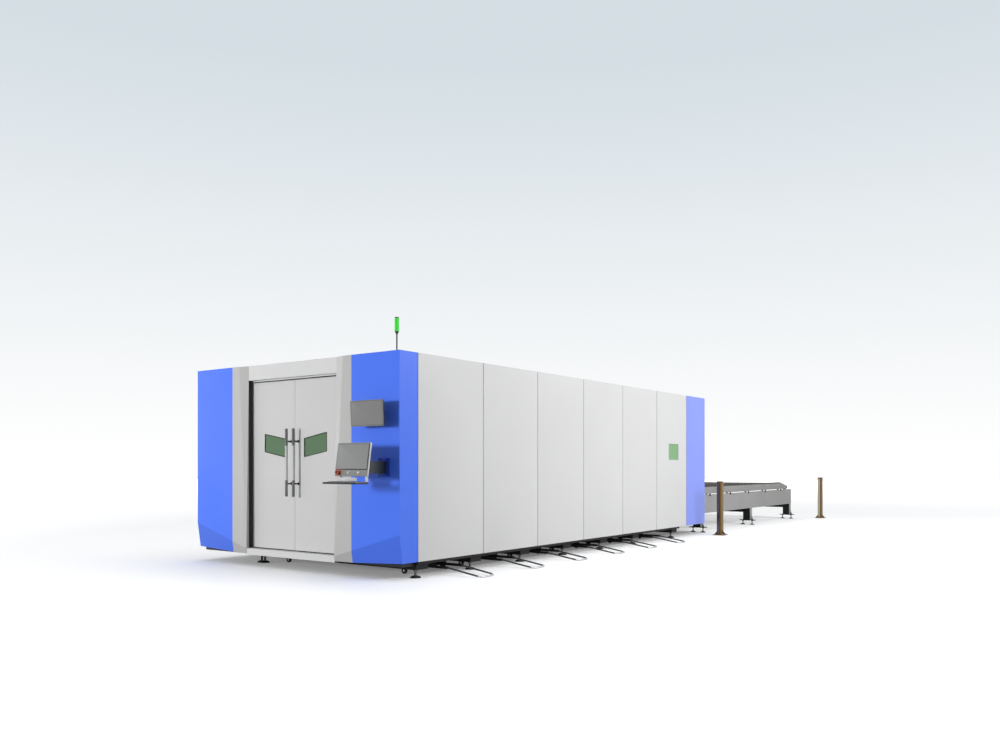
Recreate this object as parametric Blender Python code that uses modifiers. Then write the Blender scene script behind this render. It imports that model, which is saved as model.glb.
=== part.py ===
"""Fiber laser cutting machine with its enclosure, slag carts and pallet exchange table.

Lengths are metres, +Z is up, the operator's doors face -Y and the exchange table is at +Y.
Pieces are laid out from the enclosure's right front corner (x 0 on the right side's face, y 0 where
the side panels start), and one empty carries them all to the middle of the whole machine's floor plan.
"""
import math

import bmesh
import bpy
from mathutils import Matrix, Vector

# Fits shared by all pieces
fit_gap = 0.0003
overlap = 0.002
overrun = 0.020
weld_distance = 0.00002

# Bed width, which the enclosure, the pallets and the table follow
bed_inset = 0.058
bed_width = 2.544

# Enclosure
cabin_height = 2.400
service_width = 0.866
front_depth = 0.285
side_panel_count = 6
side_panel_length = 1.152
rear_corner_length = 0.790
panel_floor = 0.175
panel_depth = 0.050
sheet = 0.003
panel_flange = 0.009
seam_width = 0.012
seam_depth = 0.014
roof_drop = 0.005
roof_depth = 0.050
roof_seam_depth = 0.010
cabin_width = bed_inset + bed_width + service_width
side_rear = side_panel_count * side_panel_length
cabin_rear = side_rear + rear_corner_length
cabin_middle = -cabin_width / 2
roof_top = cabin_height - roof_drop

# Front: corner panels, door pillars, header and sill
front_wall = 0.090
corner_panel_width = 0.706
pillar_width = 0.269
pillar_floor = 0.146
pillar_facet_width = 0.130
bevel_depth = 0.035
bevel_foot = 0.208
crease_height = 0.478
crease_drop = 0.270
crease_span = 0.950
crease_recede_share = 0.141
header_recess = 0.035
header_height = 0.175
track_height = 0.195
track_depth = 0.095
sill_height = 0.205
sill_floor = 0.130
sill_recess = 0.006
jamb = corner_panel_width + pillar_width
front_face = -front_depth
wall_back = front_face + front_wall

# Sliding door leaves, windows and pull handles
door_clearance = 0.008
door_thickness = 0.045
door_seam = 0.004
door_tuck = 0.035
window_inner = 0.162
window_jamb_gap = 0.224
window_inner_foot = 1.300
window_outer_foot = 1.364
window_rise = 0.213
window_pane = 0.008
window_setback = 0.004
window_fit = 0.0003
handle_offset = 0.060
handle_radius = 0.016
handle_foot = 0.840
handle_length = 0.790
handle_stand = 0.060
handle_inset = 0.150
standoff_radius = 0.009
window_outer = cabin_width / 2 - jamb - window_jamb_gap
door_front = wall_back + door_clearance
door_back = door_front + door_thickness
track_foot = cabin_height - track_height

# Window in the last side panel
side_window_from_rear = 0.330
side_window_length = 0.380
side_window_foot = 1.295
side_window_height = 0.271

# Bed
bed_wall = 0.057
bed_floor = 0.145
bed_top = 1.000
bed_end_gap = 0.090
rail_end_gap = 0.282
side_rail_width = 0.064
side_rail_inset = 0.003
cross_beam_floor = 0.085
cross_beam_top = 0.160
cross_beam_length = 0.200
cross_beam_reach = 0.028
front_tie_depth = 0.020
bay_start = 0.945
last_bay = 1.395
last_station_inset = 0.250
foot_inset = 0.030
foot_step = 0.060
pad_radius = 0.060
pad_height = 0.022
stud_radius = 0.013
pad_sides = 10
stud_sides = 6
outrigger_first = 2
ledge_height = 0.020
ledge_reach = 0.095
ledge_start = 0.350
gantry_rail_width = 0.030
gantry_rail_height = 0.030
side_rail_length = side_rear - rail_end_gap
last_station = side_rail_length - last_station_inset
bay_pitch = (last_station - last_bay - bay_start) / (side_panel_count - 2)
bed_left = -bed_inset - bed_width
bed_middle = -bed_inset - bed_width / 2

# Pallets, one on the exchange table and one waiting lower down inside
pallet_end_gap = 0.020
pallet_side_gap = 0.065
pallet_width = bed_width - 2 * (bed_wall + pallet_side_gap)
pallet_front_room = 0.500
pallet_pass_gap = 0.130
pallet_height = 0.150
pallet_slope_run = 0.690
pallet_slope_drop = 0.075
pallet_rail = 0.050
upper_level = 0.680
lower_level = 0.450
slat_count = 20
slat_thickness = 0.006
slat_foot = 0.046
slat_tooth_count = 6
slat_tooth_height = 0.018
slat_top_gap = 0.004
pallet_beam_width = 0.060
pallet_beam_height = 0.040
pallet_beam_count = 4

table_start = side_rail_length + bed_end_gap
pallet_start = table_start + pallet_end_gap
pallet_travel = pallet_start - pallet_front_room
pallet_length = pallet_travel - pallet_pass_gap

# Exchange table
table_inset = 0.130
table_end_room = 0.180
table_side = 0.045
table_floor = 0.335
table_top = 0.660
table_end_thickness = 0.050
table_tie_count = 3
table_tie_height = 0.060
table_tie_width = 0.080
roller_radius = 0.026
roller_width = 0.034
roller_count = 6
roller_sides = 8
leg_first_reach = 1.110
leg_last_inset = 0.150
leg_length = 0.130
leg_width = 0.140
leg_plate_length = 0.140
leg_plate_width = 0.300
leg_plate_thickness = 0.012
leg_plate_floor = 0.085
leg_pad_spread = 0.095
leg_pad_radius = 0.050
leg_stud_share = 0.67
leg_tie_height = 0.080
leg_tie_width = 0.080
table_length = pallet_end_gap + pallet_length + table_end_room
leg_first = table_start + leg_first_reach
leg_last = table_start + table_length - leg_last_inset
leg_places = (leg_first, (leg_first + leg_last) / 2, leg_last)

# Slag carts and their tow handles
cart_beam_gap = 0.075
cart_rear_gap = 0.095
cart_inset = 0.330
cart_length = 2.050
cart_floor = 0.052
cart_top = 0.135
cart_wall = 0.004
cart_wheel_radius = 0.036
cart_wheel_width = 0.022
cart_wheel_shares = (0.03, 0.97)
hitch_spread = 0.145
hitch_width = 0.008
hitch_height = 0.030
hitch_reach = 0.060
hinge_height = 0.080
hinge_radius = 0.016
tow_bar_radius = 0.010
tow_reach = 0.470
tow_corner = 0.065
tow_corner_points = 3
cart_sides = 8
cart_width = bay_pitch - cross_beam_length - cart_beam_gap - cart_rear_gap
cart_first = bay_start - cart_beam_gap - cart_width / 2

# Gantry, head carriage and cutting head
gantry_place = 1.350
gantry_truck_length = 0.480
gantry_truck_width = 0.064
gantry_truck_height = 0.090
gantry_depth = 0.280
gantry_height = 0.320
gantry_belly = 0.080
carriage_width = 0.300
carriage_depth = 0.060
carriage_height = 0.420
carriage_lift = 0.040
head_plate_width = 0.160
head_plate_depth = 0.030
head_plate_height = 0.380
head_radius = 0.055
head_body_height = 0.420
head_cone_height = 0.110
nozzle_radius = 0.012
nozzle_tip_radius = 0.004
nozzle_height = 0.040
nozzle_clearance = 0.170
head_sides = 20

# Operator console
console_left = 0.596
console_width = 0.471
console_foot = 1.090
console_height = 0.350
console_thickness = 0.055
console_reach = 0.350
console_lean = math.radians(8.5)
control_strip = 0.075
screen_margin = 0.014
screen_thickness = 0.004
arm_pivot_side = 0.200
arm_pivot_stand = 0.045
arm_pivot_radius = 0.030
arm_height = 0.130
arm_foot = 1.115
arm_width = 0.060
bracket_width = 0.120
bracket_plate = 0.012
bracket_margin = 0.030
tray_left = 0.556
tray_width = 0.473
tray_depth = 0.210
tray_thickness = 0.020
tray_floor = 1.012
tray_ear_width = 0.030
tray_ear_thickness = 0.012
tray_knuckle_radius = 0.008
tray_setback = 0.004
stop_radius = 0.024
stop_head_radius = 0.030
stop_height = 0.038
stop_travel = 0.005
button_radius = 0.011
button_height = 0.012
button_travel = 0.003
button_sink = 0.002
button_sides = 14
control_row_share = 0.50
stop_place_share = 0.13
button_place_shares = (0.43, 0.74)

# Second monitor
monitor_left = 0.550
monitor_width = 0.470
monitor_foot = 1.613
monitor_height = 0.272
monitor_thickness = 0.040
monitor_reach = 0.165
monitor_lean = math.radians(3.5)
monitor_bracket_size = 0.120
monitor_knuckle_radius = 0.020
monitor_knuckle_length = 0.100
monitor_neck_width = 0.070

# Signal tower
tower_side = 0.210
tower_setback = 0.185
tower_base_radius = 0.030
tower_base_height = 0.030
tower_pole_radius = 0.008
tower_pole_height = 0.205
tower_lamp_radius = 0.026
tower_lamp_height = 0.185
tower_cone_height = 0.030
tower_cap_height = 0.018
tower_crown_share = 0.67
tower_lamp_foot = roof_top + tower_pole_height

# Light-curtain posts
post_side = 0.400
post_first = 0.700
post_last = 0.440
post_places = (table_start + post_first, table_start + table_length + post_last)
post_height = 0.930
post_size = 0.090
post_slot_width = 0.034
post_slot_depth = 0.012
post_plate = 0.200
post_plate_thickness = 0.012
post_gusset = 0.070
post_gusset_thickness = 0.010

# Laser source cabinet in the closed left part
cabinet_bed_gap = 0.096
cabinet_length = 1.200
cabinet_height = 1.250
cabinet_start = 2.050
cabinet_side_gap = 0.080
cabinet_plinth = 0.060
cabinet_plinth_inset = 0.025
cabinet_width = service_width - panel_depth - cabinet_side_gap - cabinet_bed_gap

# Rear wall
rear_return = 0.108
rear_wall_thickness = 0.050
passage_top = 1.050

# Floor plan of the whole machine, from the pieces that reach furthest
plan_right = hitch_reach + tow_reach
plan_front = front_face - console_reach - tray_depth - tray_setback
plan_rear = post_places[1] + post_plate / 2
plan_shift = Vector((
    (cabin_width - plan_right) / 2,
    -(plan_front + plan_rear) / 2,
    0,
))


def clear_scene():
    """Removes whatever the opened file holds."""
    for item in list(bpy.data.objects):
        bpy.data.objects.remove(item, do_unlink=True)


def paint(name, colour, roughness, metallic=0.0):
    """A Principled material with one colour."""
    material = bpy.data.materials.new(name)
    material.use_nodes = True
    shader = material.node_tree.nodes["Principled BSDF"]
    shader.inputs["Base Color"].default_value = (*colour, 1.0)
    shader.inputs["Roughness"].default_value = roughness
    shader.inputs["Metallic"].default_value = metallic
    material.diffuse_color = (*colour, 1.0)
    return material


def new_collection(name):
    """A collection linked to the scene."""
    collection = bpy.data.collections.new(name)
    bpy.context.scene.collection.children.link(collection)
    return collection


clear_scene()
machine = new_collection("fiber_laser_cutting_machine")
cutters = new_collection("cutters")

floor_origin = bpy.data.objects.new("floor_origin", None)
floor_origin.location = plan_shift
machine.objects.link(floor_origin)

blue_paint = paint("blue_paint", (0.10, 0.23, 1.00), 0.35)
grey_paint = paint("grey_paint", (0.70, 0.70, 0.70), 0.40)
pillar_paint = paint("pillar_paint", (0.52, 0.51, 0.50), 0.40)
door_paint = paint("door_paint", (0.61, 0.61, 0.61), 0.40)
black_paint = paint("black_paint", (0.012, 0.012, 0.013), 0.50)
table_paint = paint("table_paint", (0.31, 0.31, 0.31), 0.45)
green_pane = paint("green_pane", (0.10, 0.24, 0.10), 0.15)
steel = paint("steel", (0.50, 0.50, 0.50), 0.28, 1.0)
slat_steel = paint("slat_steel", (0.30, 0.29, 0.28), 0.55, 0.8)
console_grey = paint("console_grey", (0.26, 0.26, 0.26), 0.40)
screen_glass = paint("screen_glass", (0.24, 0.24, 0.24), 0.12)
tray_black = paint("tray_black", (0.02, 0.045, 0.05), 0.45)
stop_red = paint("stop_red", (0.55, 0.08, 0.04), 0.35)
button_white = paint("button_white", (0.80, 0.80, 0.80), 0.30)
lamp_green = paint("lamp_green", (0.03, 0.60, 0.03), 0.25)
post_bronze = paint("post_bronze", (0.26, 0.16, 0.05), 0.38, 0.6)


def add_box(shape, low, high):
    """Adds the box between two opposite corners to a bmesh."""
    low = Vector(low)
    high = Vector(high)
    size = high - low
    place = Matrix.Translation((low + high) / 2) @ Matrix.Diagonal((*size, 1))
    bmesh.ops.create_cube(shape, size=1, matrix=place)


def add_rod(shape, start, end, radius, sides, end_radius=None):
    """Adds a cylinder or a cone between two points to a bmesh."""
    start = Vector(start)
    end = Vector(end)
    run = end - start
    turn = run.to_track_quat("Z", "Y").to_matrix().to_4x4()
    bmesh.ops.create_cone(
        shape,
        cap_ends=True,
        segments=sides,
        radius1=radius,
        radius2=radius if end_radius is None else end_radius,
        depth=run.length,
        matrix=Matrix.Translation((start + end) / 2) @ turn,
    )


def solid(*parts):
    """A bmesh that holds separate closed boxes and rods, from functions that add them."""
    shape = bmesh.new()
    for add, *values in parts:
        add(shape, *values)
    return shape


PLANES = {
    "XY": Matrix(((1, 0, 0), (0, 1, 0), (0, 0, 1))),
    "XZ": Matrix(((1, 0, 0), (0, 0, -1), (0, 1, 0))),
    "YZ": Matrix(((0, 0, 1), (1, 0, 0), (0, 1, 0))),
}


def add_slab(shape, plane, rings, start, end):
    """Adds a flat outline with its holes, thickened along the plane's normal from start to end."""
    curve = bpy.data.curves.new("outline", "CURVE")
    curve.dimensions = "2D"
    curve.fill_mode = "BOTH"
    curve.extrude = abs(end - start) / 2
    for ring in rings:
        spline = curve.splines.new("POLY")
        spline.points.add(len(ring) - 1)
        for point, (across, up) in zip(spline.points, ring):
            point.co = (across, up, 0, 1)
        spline.use_cyclic_u = True
    carrier = bpy.data.objects.new("outline", curve)
    cutters.objects.link(carrier)
    graph = bpy.context.evaluated_depsgraph_get()
    mesh = bpy.data.meshes.new_from_object(carrier.evaluated_get(graph))
    bpy.data.objects.remove(carrier)
    slab = bmesh.new()
    slab.from_mesh(mesh)
    bmesh.ops.remove_doubles(slab, verts=slab.verts, dist=weld_distance)
    turn = PLANES[plane].to_4x4()
    middle = PLANES[plane] @ Vector((0, 0, (start + end) / 2))
    if plane == "XZ":
        middle = -middle
    bmesh.ops.transform(slab, matrix=Matrix.Translation(middle) @ turn, verts=slab.verts)
    bmesh.ops.recalc_face_normals(slab, faces=slab.faces)
    slab.to_mesh(mesh)
    slab.free()
    shape.from_mesh(mesh)
    bpy.data.meshes.remove(mesh)


def add_half_space(shape, corner_a, corner_b, corner_c, outward, reach):
    """Adds a big box on the outer side of the plane through three points."""
    a, b, c = Vector(corner_a), Vector(corner_b), Vector(corner_c)
    along = (b - a).normalized()
    normal = along.cross(c - a).normalized()
    if normal.dot(Vector(outward)) < 0:
        normal = -normal
    across = normal.cross(along)
    turn = Matrix((along, across, normal)).transposed().to_4x4()
    middle = (a + b + c) / 3 + normal * reach / 2
    size = Matrix.Diagonal((reach, reach, reach, 1))
    bmesh.ops.create_cube(shape, size=1, matrix=Matrix.Translation(middle) @ turn @ size)


def bmesh_object(name, shape, collection):
    """Puts a bmesh into a new object in a collection."""
    mesh = bpy.data.meshes.new(name)
    shape.to_mesh(mesh)
    shape.free()
    item = bpy.data.objects.new(name, mesh)
    collection.objects.link(item)
    return item


def combine(first, *steps):
    """Runs exact Booleans on a bmesh: each step is an operation and the solid it works with."""
    base = bmesh_object("base", first, cutters)
    others = []
    for operation, shape in steps:
        other = bmesh_object("other", shape, cutters)
        other.hide_render = True
        other.display_type = "WIRE"
        others.append(other)
        boolean = base.modifiers.new(operation.lower(), "BOOLEAN")
        boolean.operation = operation
        boolean.object = other
        boolean.solver = "EXACT"
    graph = bpy.context.evaluated_depsgraph_get()
    mesh = bpy.data.meshes.new_from_object(base.evaluated_get(graph))
    for item in (base, *others):
        bpy.data.objects.remove(item)
    result = bmesh.new()
    result.from_mesh(mesh)
    bpy.data.meshes.remove(mesh)
    bmesh.ops.remove_doubles(result, verts=result.verts, dist=weld_distance)
    return result


def place_part(name, shape, material, pivot=(0, 0, 0), parent=None, smooth=False):
    """Makes a sub-part from a bmesh in layout coordinates, with its origin at a pivot."""
    pivot = Vector(pivot)
    bmesh.ops.translate(shape, verts=shape.verts, vec=-pivot)
    item = bmesh_object(name, shape, machine)
    item.data.materials.append(material)
    item.parent = parent or floor_origin
    item.location = pivot - (parent.location if parent else Vector())
    if smooth:
        item.data.shade_smooth()
        item.data.set_sharp_from_angle(angle=math.radians(35))
    return item


def copy_part(source, name, shift):
    """Another piece of the same form, moved from the first."""
    item = bpy.data.objects.new(name, source.data)
    machine.objects.link(item)
    item.parent = source.parent
    item.location = source.location + Vector(shift)
    return item


def mirror_x(shape, middle):
    """A mirrored copy of a bmesh across the plane x = middle, with its faces pointing out."""
    copy = shape.copy()
    across = Matrix.Translation((2 * middle, 0, 0)) @ Matrix.Diagonal((-1, 1, 1, 1))
    bmesh.ops.transform(copy, matrix=across, verts=copy.verts)
    bmesh.ops.reverse_faces(copy, faces=copy.faces)
    return copy


def turned(profile, centre, sides):
    """A solid of revolution about a vertical axis: profile points run down the outer side."""
    mesh = bpy.data.meshes.new("profile")
    edges = [(i, i + 1) for i in range(len(profile) - 1)]
    mesh.from_pydata([(radius, 0, height) for radius, height in profile], edges, [])
    item = bpy.data.objects.new("profile", mesh)
    cutters.objects.link(item)
    screw = item.modifiers.new("screw", "SCREW")
    screw.steps = sides
    screw.render_steps = sides
    screw.use_merge_vertices = True
    screw.merge_threshold = weld_distance
    graph = bpy.context.evaluated_depsgraph_get()
    result = bmesh.new()
    spun = bpy.data.meshes.new_from_object(item.evaluated_get(graph))
    result.from_mesh(spun)
    bpy.data.objects.remove(item)
    bmesh.ops.remove_doubles(result, verts=result.verts, dist=weld_distance)
    bmesh.ops.recalc_face_normals(result, faces=result.faces)
    bmesh.ops.translate(result, verts=result.verts, vec=centre)
    return result


def bar_along(points, radius, resolution):
    """A round bar along a list of points, as a welded mesh."""
    curve = bpy.data.curves.new("bar", "CURVE")
    curve.dimensions = "3D"
    curve.bevel_depth = radius
    curve.bevel_resolution = resolution
    curve.use_fill_caps = True
    spline = curve.splines.new("POLY")
    spline.points.add(len(points) - 1)
    for point, place in zip(spline.points, points):
        point.co = (*place, 1)
    item = bpy.data.objects.new("bar", curve)
    cutters.objects.link(item)
    graph = bpy.context.evaluated_depsgraph_get()
    mesh = bpy.data.meshes.new_from_object(item.evaluated_get(graph))
    bpy.data.objects.remove(item)
    result = bmesh.new()
    result.from_mesh(mesh)
    bmesh.ops.remove_doubles(result, verts=result.verts, dist=weld_distance)
    bmesh.ops.recalc_face_normals(result, faces=result.faces)
    return result


def side_panel_shape(start, end):
    """A folded side panel: shadow-gap edges outside, an open pocket inside."""
    half_seam = seam_width / 2
    half_fit = fit_gap / 2
    outline = [
        (-panel_depth, start + half_fit),
        (-seam_depth, start + half_fit),
        (-seam_depth, start + half_seam),
        (0, start + half_seam),
        (0, end - half_seam),
        (-seam_depth, end - half_seam),
        (-seam_depth, end - half_fit),
        (-panel_depth, end - half_fit),
    ]
    pocket_low = (-panel_depth - overrun, start + panel_flange, panel_floor + panel_flange)
    pocket_high = (-seam_depth - sheet, end - panel_flange, cabin_height - panel_flange)
    return combine(
        solid((add_slab, "XY", [outline], panel_floor, cabin_height)),
        ("DIFFERENCE", solid((add_box, pocket_low, pocket_high))),
    )


def make_side_panels():
    """Six panels on the right, the last with a window, and the left side as one welded wall."""
    first = place_part("side_panel_right_1", side_panel_shape(0, side_panel_length), grey_paint)
    for index in range(1, side_panel_count - 1):
        copy_part(first, f"side_panel_right_{index + 1}", (0, index * side_panel_length, 0))
    window_rear = side_rear - side_window_from_rear
    window_low = (-panel_depth, window_rear - side_window_length, side_window_foot)
    window_high = (0, window_rear, side_window_foot + side_window_height)
    cut_low = (-panel_depth - overrun, *window_low[1:])
    cut_high = (overrun, *window_high[1:])
    last = combine(
        side_panel_shape(side_rear - side_panel_length, side_rear),
        ("DIFFERENCE", solid((add_box, cut_low, cut_high))),
    )
    place_part(f"side_panel_right_{side_panel_count}", last, grey_paint)
    edge = Vector((0, fit_gap, fit_gap))
    pane_low = Vector((-window_setback - window_pane, *window_low[1:])) + edge
    pane_high = Vector((-window_setback, *window_high[1:])) - edge
    place_part("side_window", solid((add_box, pane_low, pane_high)), green_pane)


def left_wall_shape():
    """The left wall and its rear corner section: one slab with a shadow gap at each panel joint."""
    wall = solid((add_box, (-panel_depth, fit_gap / 2, panel_floor), (0, cabin_rear, cabin_height)))
    turn_low = (-rear_return, cabin_rear - rear_wall_thickness, panel_floor)
    turn = solid((add_box, turn_low, (-panel_depth + overlap, cabin_rear, cabin_height)))
    seams = solid()
    half_seam = seam_width / 2
    for index in range(side_panel_count + 1):
        joint = index * side_panel_length
        seam_low = (-seam_depth, joint - half_seam, panel_floor - overrun)
        add_box(seams, seam_low, (overrun, joint + half_seam, cabin_height + overrun))
    return combine(wall, ("UNION", turn), ("DIFFERENCE", seams))


def make_left_wall():
    """The left wall mirrors the right side's joints."""
    place_part("side_wall_left", mirror_x(left_wall_shape(), cabin_middle), grey_paint)


def facet_cutter():
    """The space in front of the low facet, which falls back below a slanting crease."""
    crease_outer = (0, front_face, crease_height)
    crease_inner = (-crease_span, front_face, crease_height - crease_drop)
    below = (0, front_face + crease_height * crease_recede_share, 0)
    reach = cabin_height
    return solid((add_half_space, crease_outer, crease_inner, below, (0, -1, 0), reach))


def corner_foot_cutter():
    """The space under the corner panel, whose lower edge rises towards the side."""
    outer = (0, 0, panel_floor)
    inner = (-corner_panel_width, 0, pillar_floor)
    behind = (0, front_face, panel_floor)
    return solid((add_half_space, outer, inner, behind, (0, 0, -1), cabin_height))


def corner_panel_shape():
    """The blue panel folded round the front corner."""
    outline = [
        (-corner_panel_width + fit_gap / 2, front_face),
        (0, front_face),
        (0, -seam_width / 2),
        (-seam_depth, -seam_width / 2),
        (-seam_depth, -fit_gap / 2),
        (-panel_depth, -fit_gap / 2),
        (-panel_depth, wall_back),
        (-corner_panel_width + fit_gap / 2, wall_back),
    ]
    return combine(
        solid((add_slab, "XY", [outline], pillar_floor - overrun, cabin_height)),
        ("DIFFERENCE", corner_foot_cutter()),
        ("DIFFERENCE", facet_cutter()),
    )


def pillar_shape():
    """The grey door pillar, with an inner bevel that runs out towards the floor."""
    low = (-jamb, front_face, pillar_floor)
    high = (-corner_panel_width - fit_gap / 2, wall_back, cabin_height)
    foot = (-jamb, front_face, bevel_foot)
    top_inner = (-jamb, front_face + bevel_depth, cabin_height)
    top_outer = (-corner_panel_width - pillar_facet_width, front_face, cabin_height)
    bevel = solid((add_half_space, foot, top_inner, top_outer, (0, -1, 0), 2 * cabin_height))
    return combine(
        solid((add_box, low, high)),
        ("DIFFERENCE", bevel),
        ("DIFFERENCE", facet_cutter()),
    )


def make_front():
    """Corner panels, pillars, header with the door track, and sill."""
    corner = corner_panel_shape()
    place_part("front_panel_left", mirror_x(corner, cabin_middle), blue_paint)
    place_part("front_panel_right", corner, blue_paint)
    pillar = pillar_shape()
    place_part("door_pillar_left", mirror_x(pillar, cabin_middle), pillar_paint)
    place_part("door_pillar_right", pillar, pillar_paint)

    side_gap = panel_depth + fit_gap
    header_low = (jamb + fit_gap - cabin_width, front_face + header_recess, cabin_height - header_height)
    header_high = (-jamb - fit_gap, wall_back, cabin_height)
    track_low = (side_gap - cabin_width, wall_back + fit_gap, track_foot)
    track_high = (-side_gap, wall_back + track_depth, roof_top - roof_depth - fit_gap)
    bridge_low = (header_low[0], wall_back - overlap, header_low[2])
    bridge_high = (header_high[0], wall_back + overlap, track_high[2])
    header = combine(
        solid((add_box, track_low, track_high)),
        ("UNION", solid((add_box, bridge_low, bridge_high))),
        ("UNION", solid((add_box, header_low, header_high))),
    )
    place_part("door_header", header, grey_paint)

    front_low = (jamb + fit_gap - cabin_width, front_face + sill_recess, sill_floor)
    front_high = (-jamb - fit_gap, wall_back + fit_gap + overlap, sill_height)
    back_low = (side_gap - cabin_width, wall_back + fit_gap, sill_floor)
    back_high = (-side_gap, -fit_gap, sill_height)
    sill = combine(
        solid((add_box, back_low, back_high)),
        ("UNION", solid((add_box, front_low, front_high))),
    )
    place_part("door_sill", sill, grey_paint)


def window_ring(grow):
    """The slanted window's corners on the right leaf, grown or shrunk sideways and up."""
    inner = cabin_middle + window_inner - grow
    outer = cabin_middle + window_outer + grow
    return [
        (inner, window_inner_foot - grow),
        (outer, window_outer_foot - grow),
        (outer, window_outer_foot + window_rise + grow),
        (inner, window_inner_foot + window_rise + grow),
    ]


def make_doors():
    """Two sliding leaves with slanted windows and tubular pull handles."""
    inner = cabin_middle + door_seam / 2
    outer = -jamb + door_tuck
    foot = sill_height + fit_gap
    top = track_foot - fit_gap
    frame_ring = [(inner, foot), (outer, foot), (outer, top), (inner, top)]
    leaf = solid((add_slab, "XZ", [frame_ring, window_ring(0)], door_front, door_back))
    pane_start = door_front + window_setback
    pane = solid((add_slab, "XZ", [window_ring(-window_fit)], pane_start, pane_start + window_pane))

    bar_x = cabin_middle + handle_offset
    bar_y = door_front - handle_stand - handle_radius
    handle_top = handle_foot + handle_length
    bar = solid((add_rod, (bar_x, bar_y, handle_foot), (bar_x, bar_y, handle_top), handle_radius, 16))
    stands = solid(*(
        (add_rod, (bar_x, bar_y, height), (bar_x, door_front - fit_gap, height), standoff_radius, 10)
        for height in (handle_foot + handle_inset, handle_top - handle_inset)
    ))
    handle = combine(bar, ("UNION", stands))

    for side, turn in (("left", True), ("right", False)):
        pivot = (cabin_middle, door_front, foot)
        for name, shape, material in (
            ("door_leaf", leaf, door_paint),
            ("door_window", pane, green_pane),
            ("door_handle", handle, steel),
        ):
            copy = mirror_x(shape, cabin_middle) if turn else shape.copy()
            place_part(f"{name}_{side}", copy, material, pivot, smooth=name == "door_handle")


def make_roof():
    """The roof cover: one slab with a shallow gutter over each panel joint."""
    start = wall_back + fit_gap
    end = cabin_rear - rear_wall_thickness - fit_gap
    side_gap = panel_depth + fit_gap
    outline = [(end, roof_top - roof_depth), (end, roof_top)]
    for index in reversed(range(side_panel_count + 1)):
        joint = index * side_panel_length
        floor = roof_top - roof_seam_depth
        outline += [
            (joint + seam_width / 2, roof_top),
            (joint + seam_width / 2, floor),
            (joint - seam_width / 2, floor),
            (joint - seam_width / 2, roof_top),
        ]
    outline += [(start, roof_top), (start, roof_top - roof_depth)]
    roof = solid((add_slab, "YZ", [outline], side_gap - cabin_width, -side_gap))
    place_part("roof_cover", roof, grey_paint)


def rear_corner_shape():
    """The blue section at the rear corner, turned in towards the pallet passage."""
    start = side_rear
    outline = [
        (-panel_depth, start + fit_gap / 2),
        (-seam_depth, start + fit_gap / 2),
        (-seam_depth, start + seam_width / 2),
        (0, start + seam_width / 2),
        (0, cabin_rear),
        (-rear_return, cabin_rear),
        (-rear_return, cabin_rear - rear_wall_thickness),
        (-panel_depth, cabin_rear - rear_wall_thickness),
    ]
    return solid((add_slab, "XY", [outline], panel_floor, cabin_height))


def make_rear():
    """Rear corner section on the right, and the rear wall with the passage for the pallets."""
    place_part("rear_corner_right", rear_corner_shape(), blue_paint)
    right = -rear_return - fit_gap
    left = rear_return + fit_gap - cabin_width
    passage_left = bed_left - side_rail_width
    outline = [
        (left, panel_floor),
        (passage_left, panel_floor),
        (passage_left, passage_top),
        (right, passage_top),
        (right, cabin_height),
        (left, cabin_height),
    ]
    wall = solid((add_slab, "XZ", [outline], cabin_rear - rear_wall_thickness, cabin_rear))
    place_part("rear_wall", wall, grey_paint)


def stations():
    """Places along the bed where a cross beam and its feet stand."""
    middle = [bay_start + index * bay_pitch for index in range(side_panel_count - 1)]
    return [0, *middle, last_station]


def add_foot(shape, x, y, top, radius):
    """Adds a levelling foot's stud."""
    add_rod(shape, (x, y, pad_height - overlap), (x, y, top), radius, stud_sides)


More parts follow.
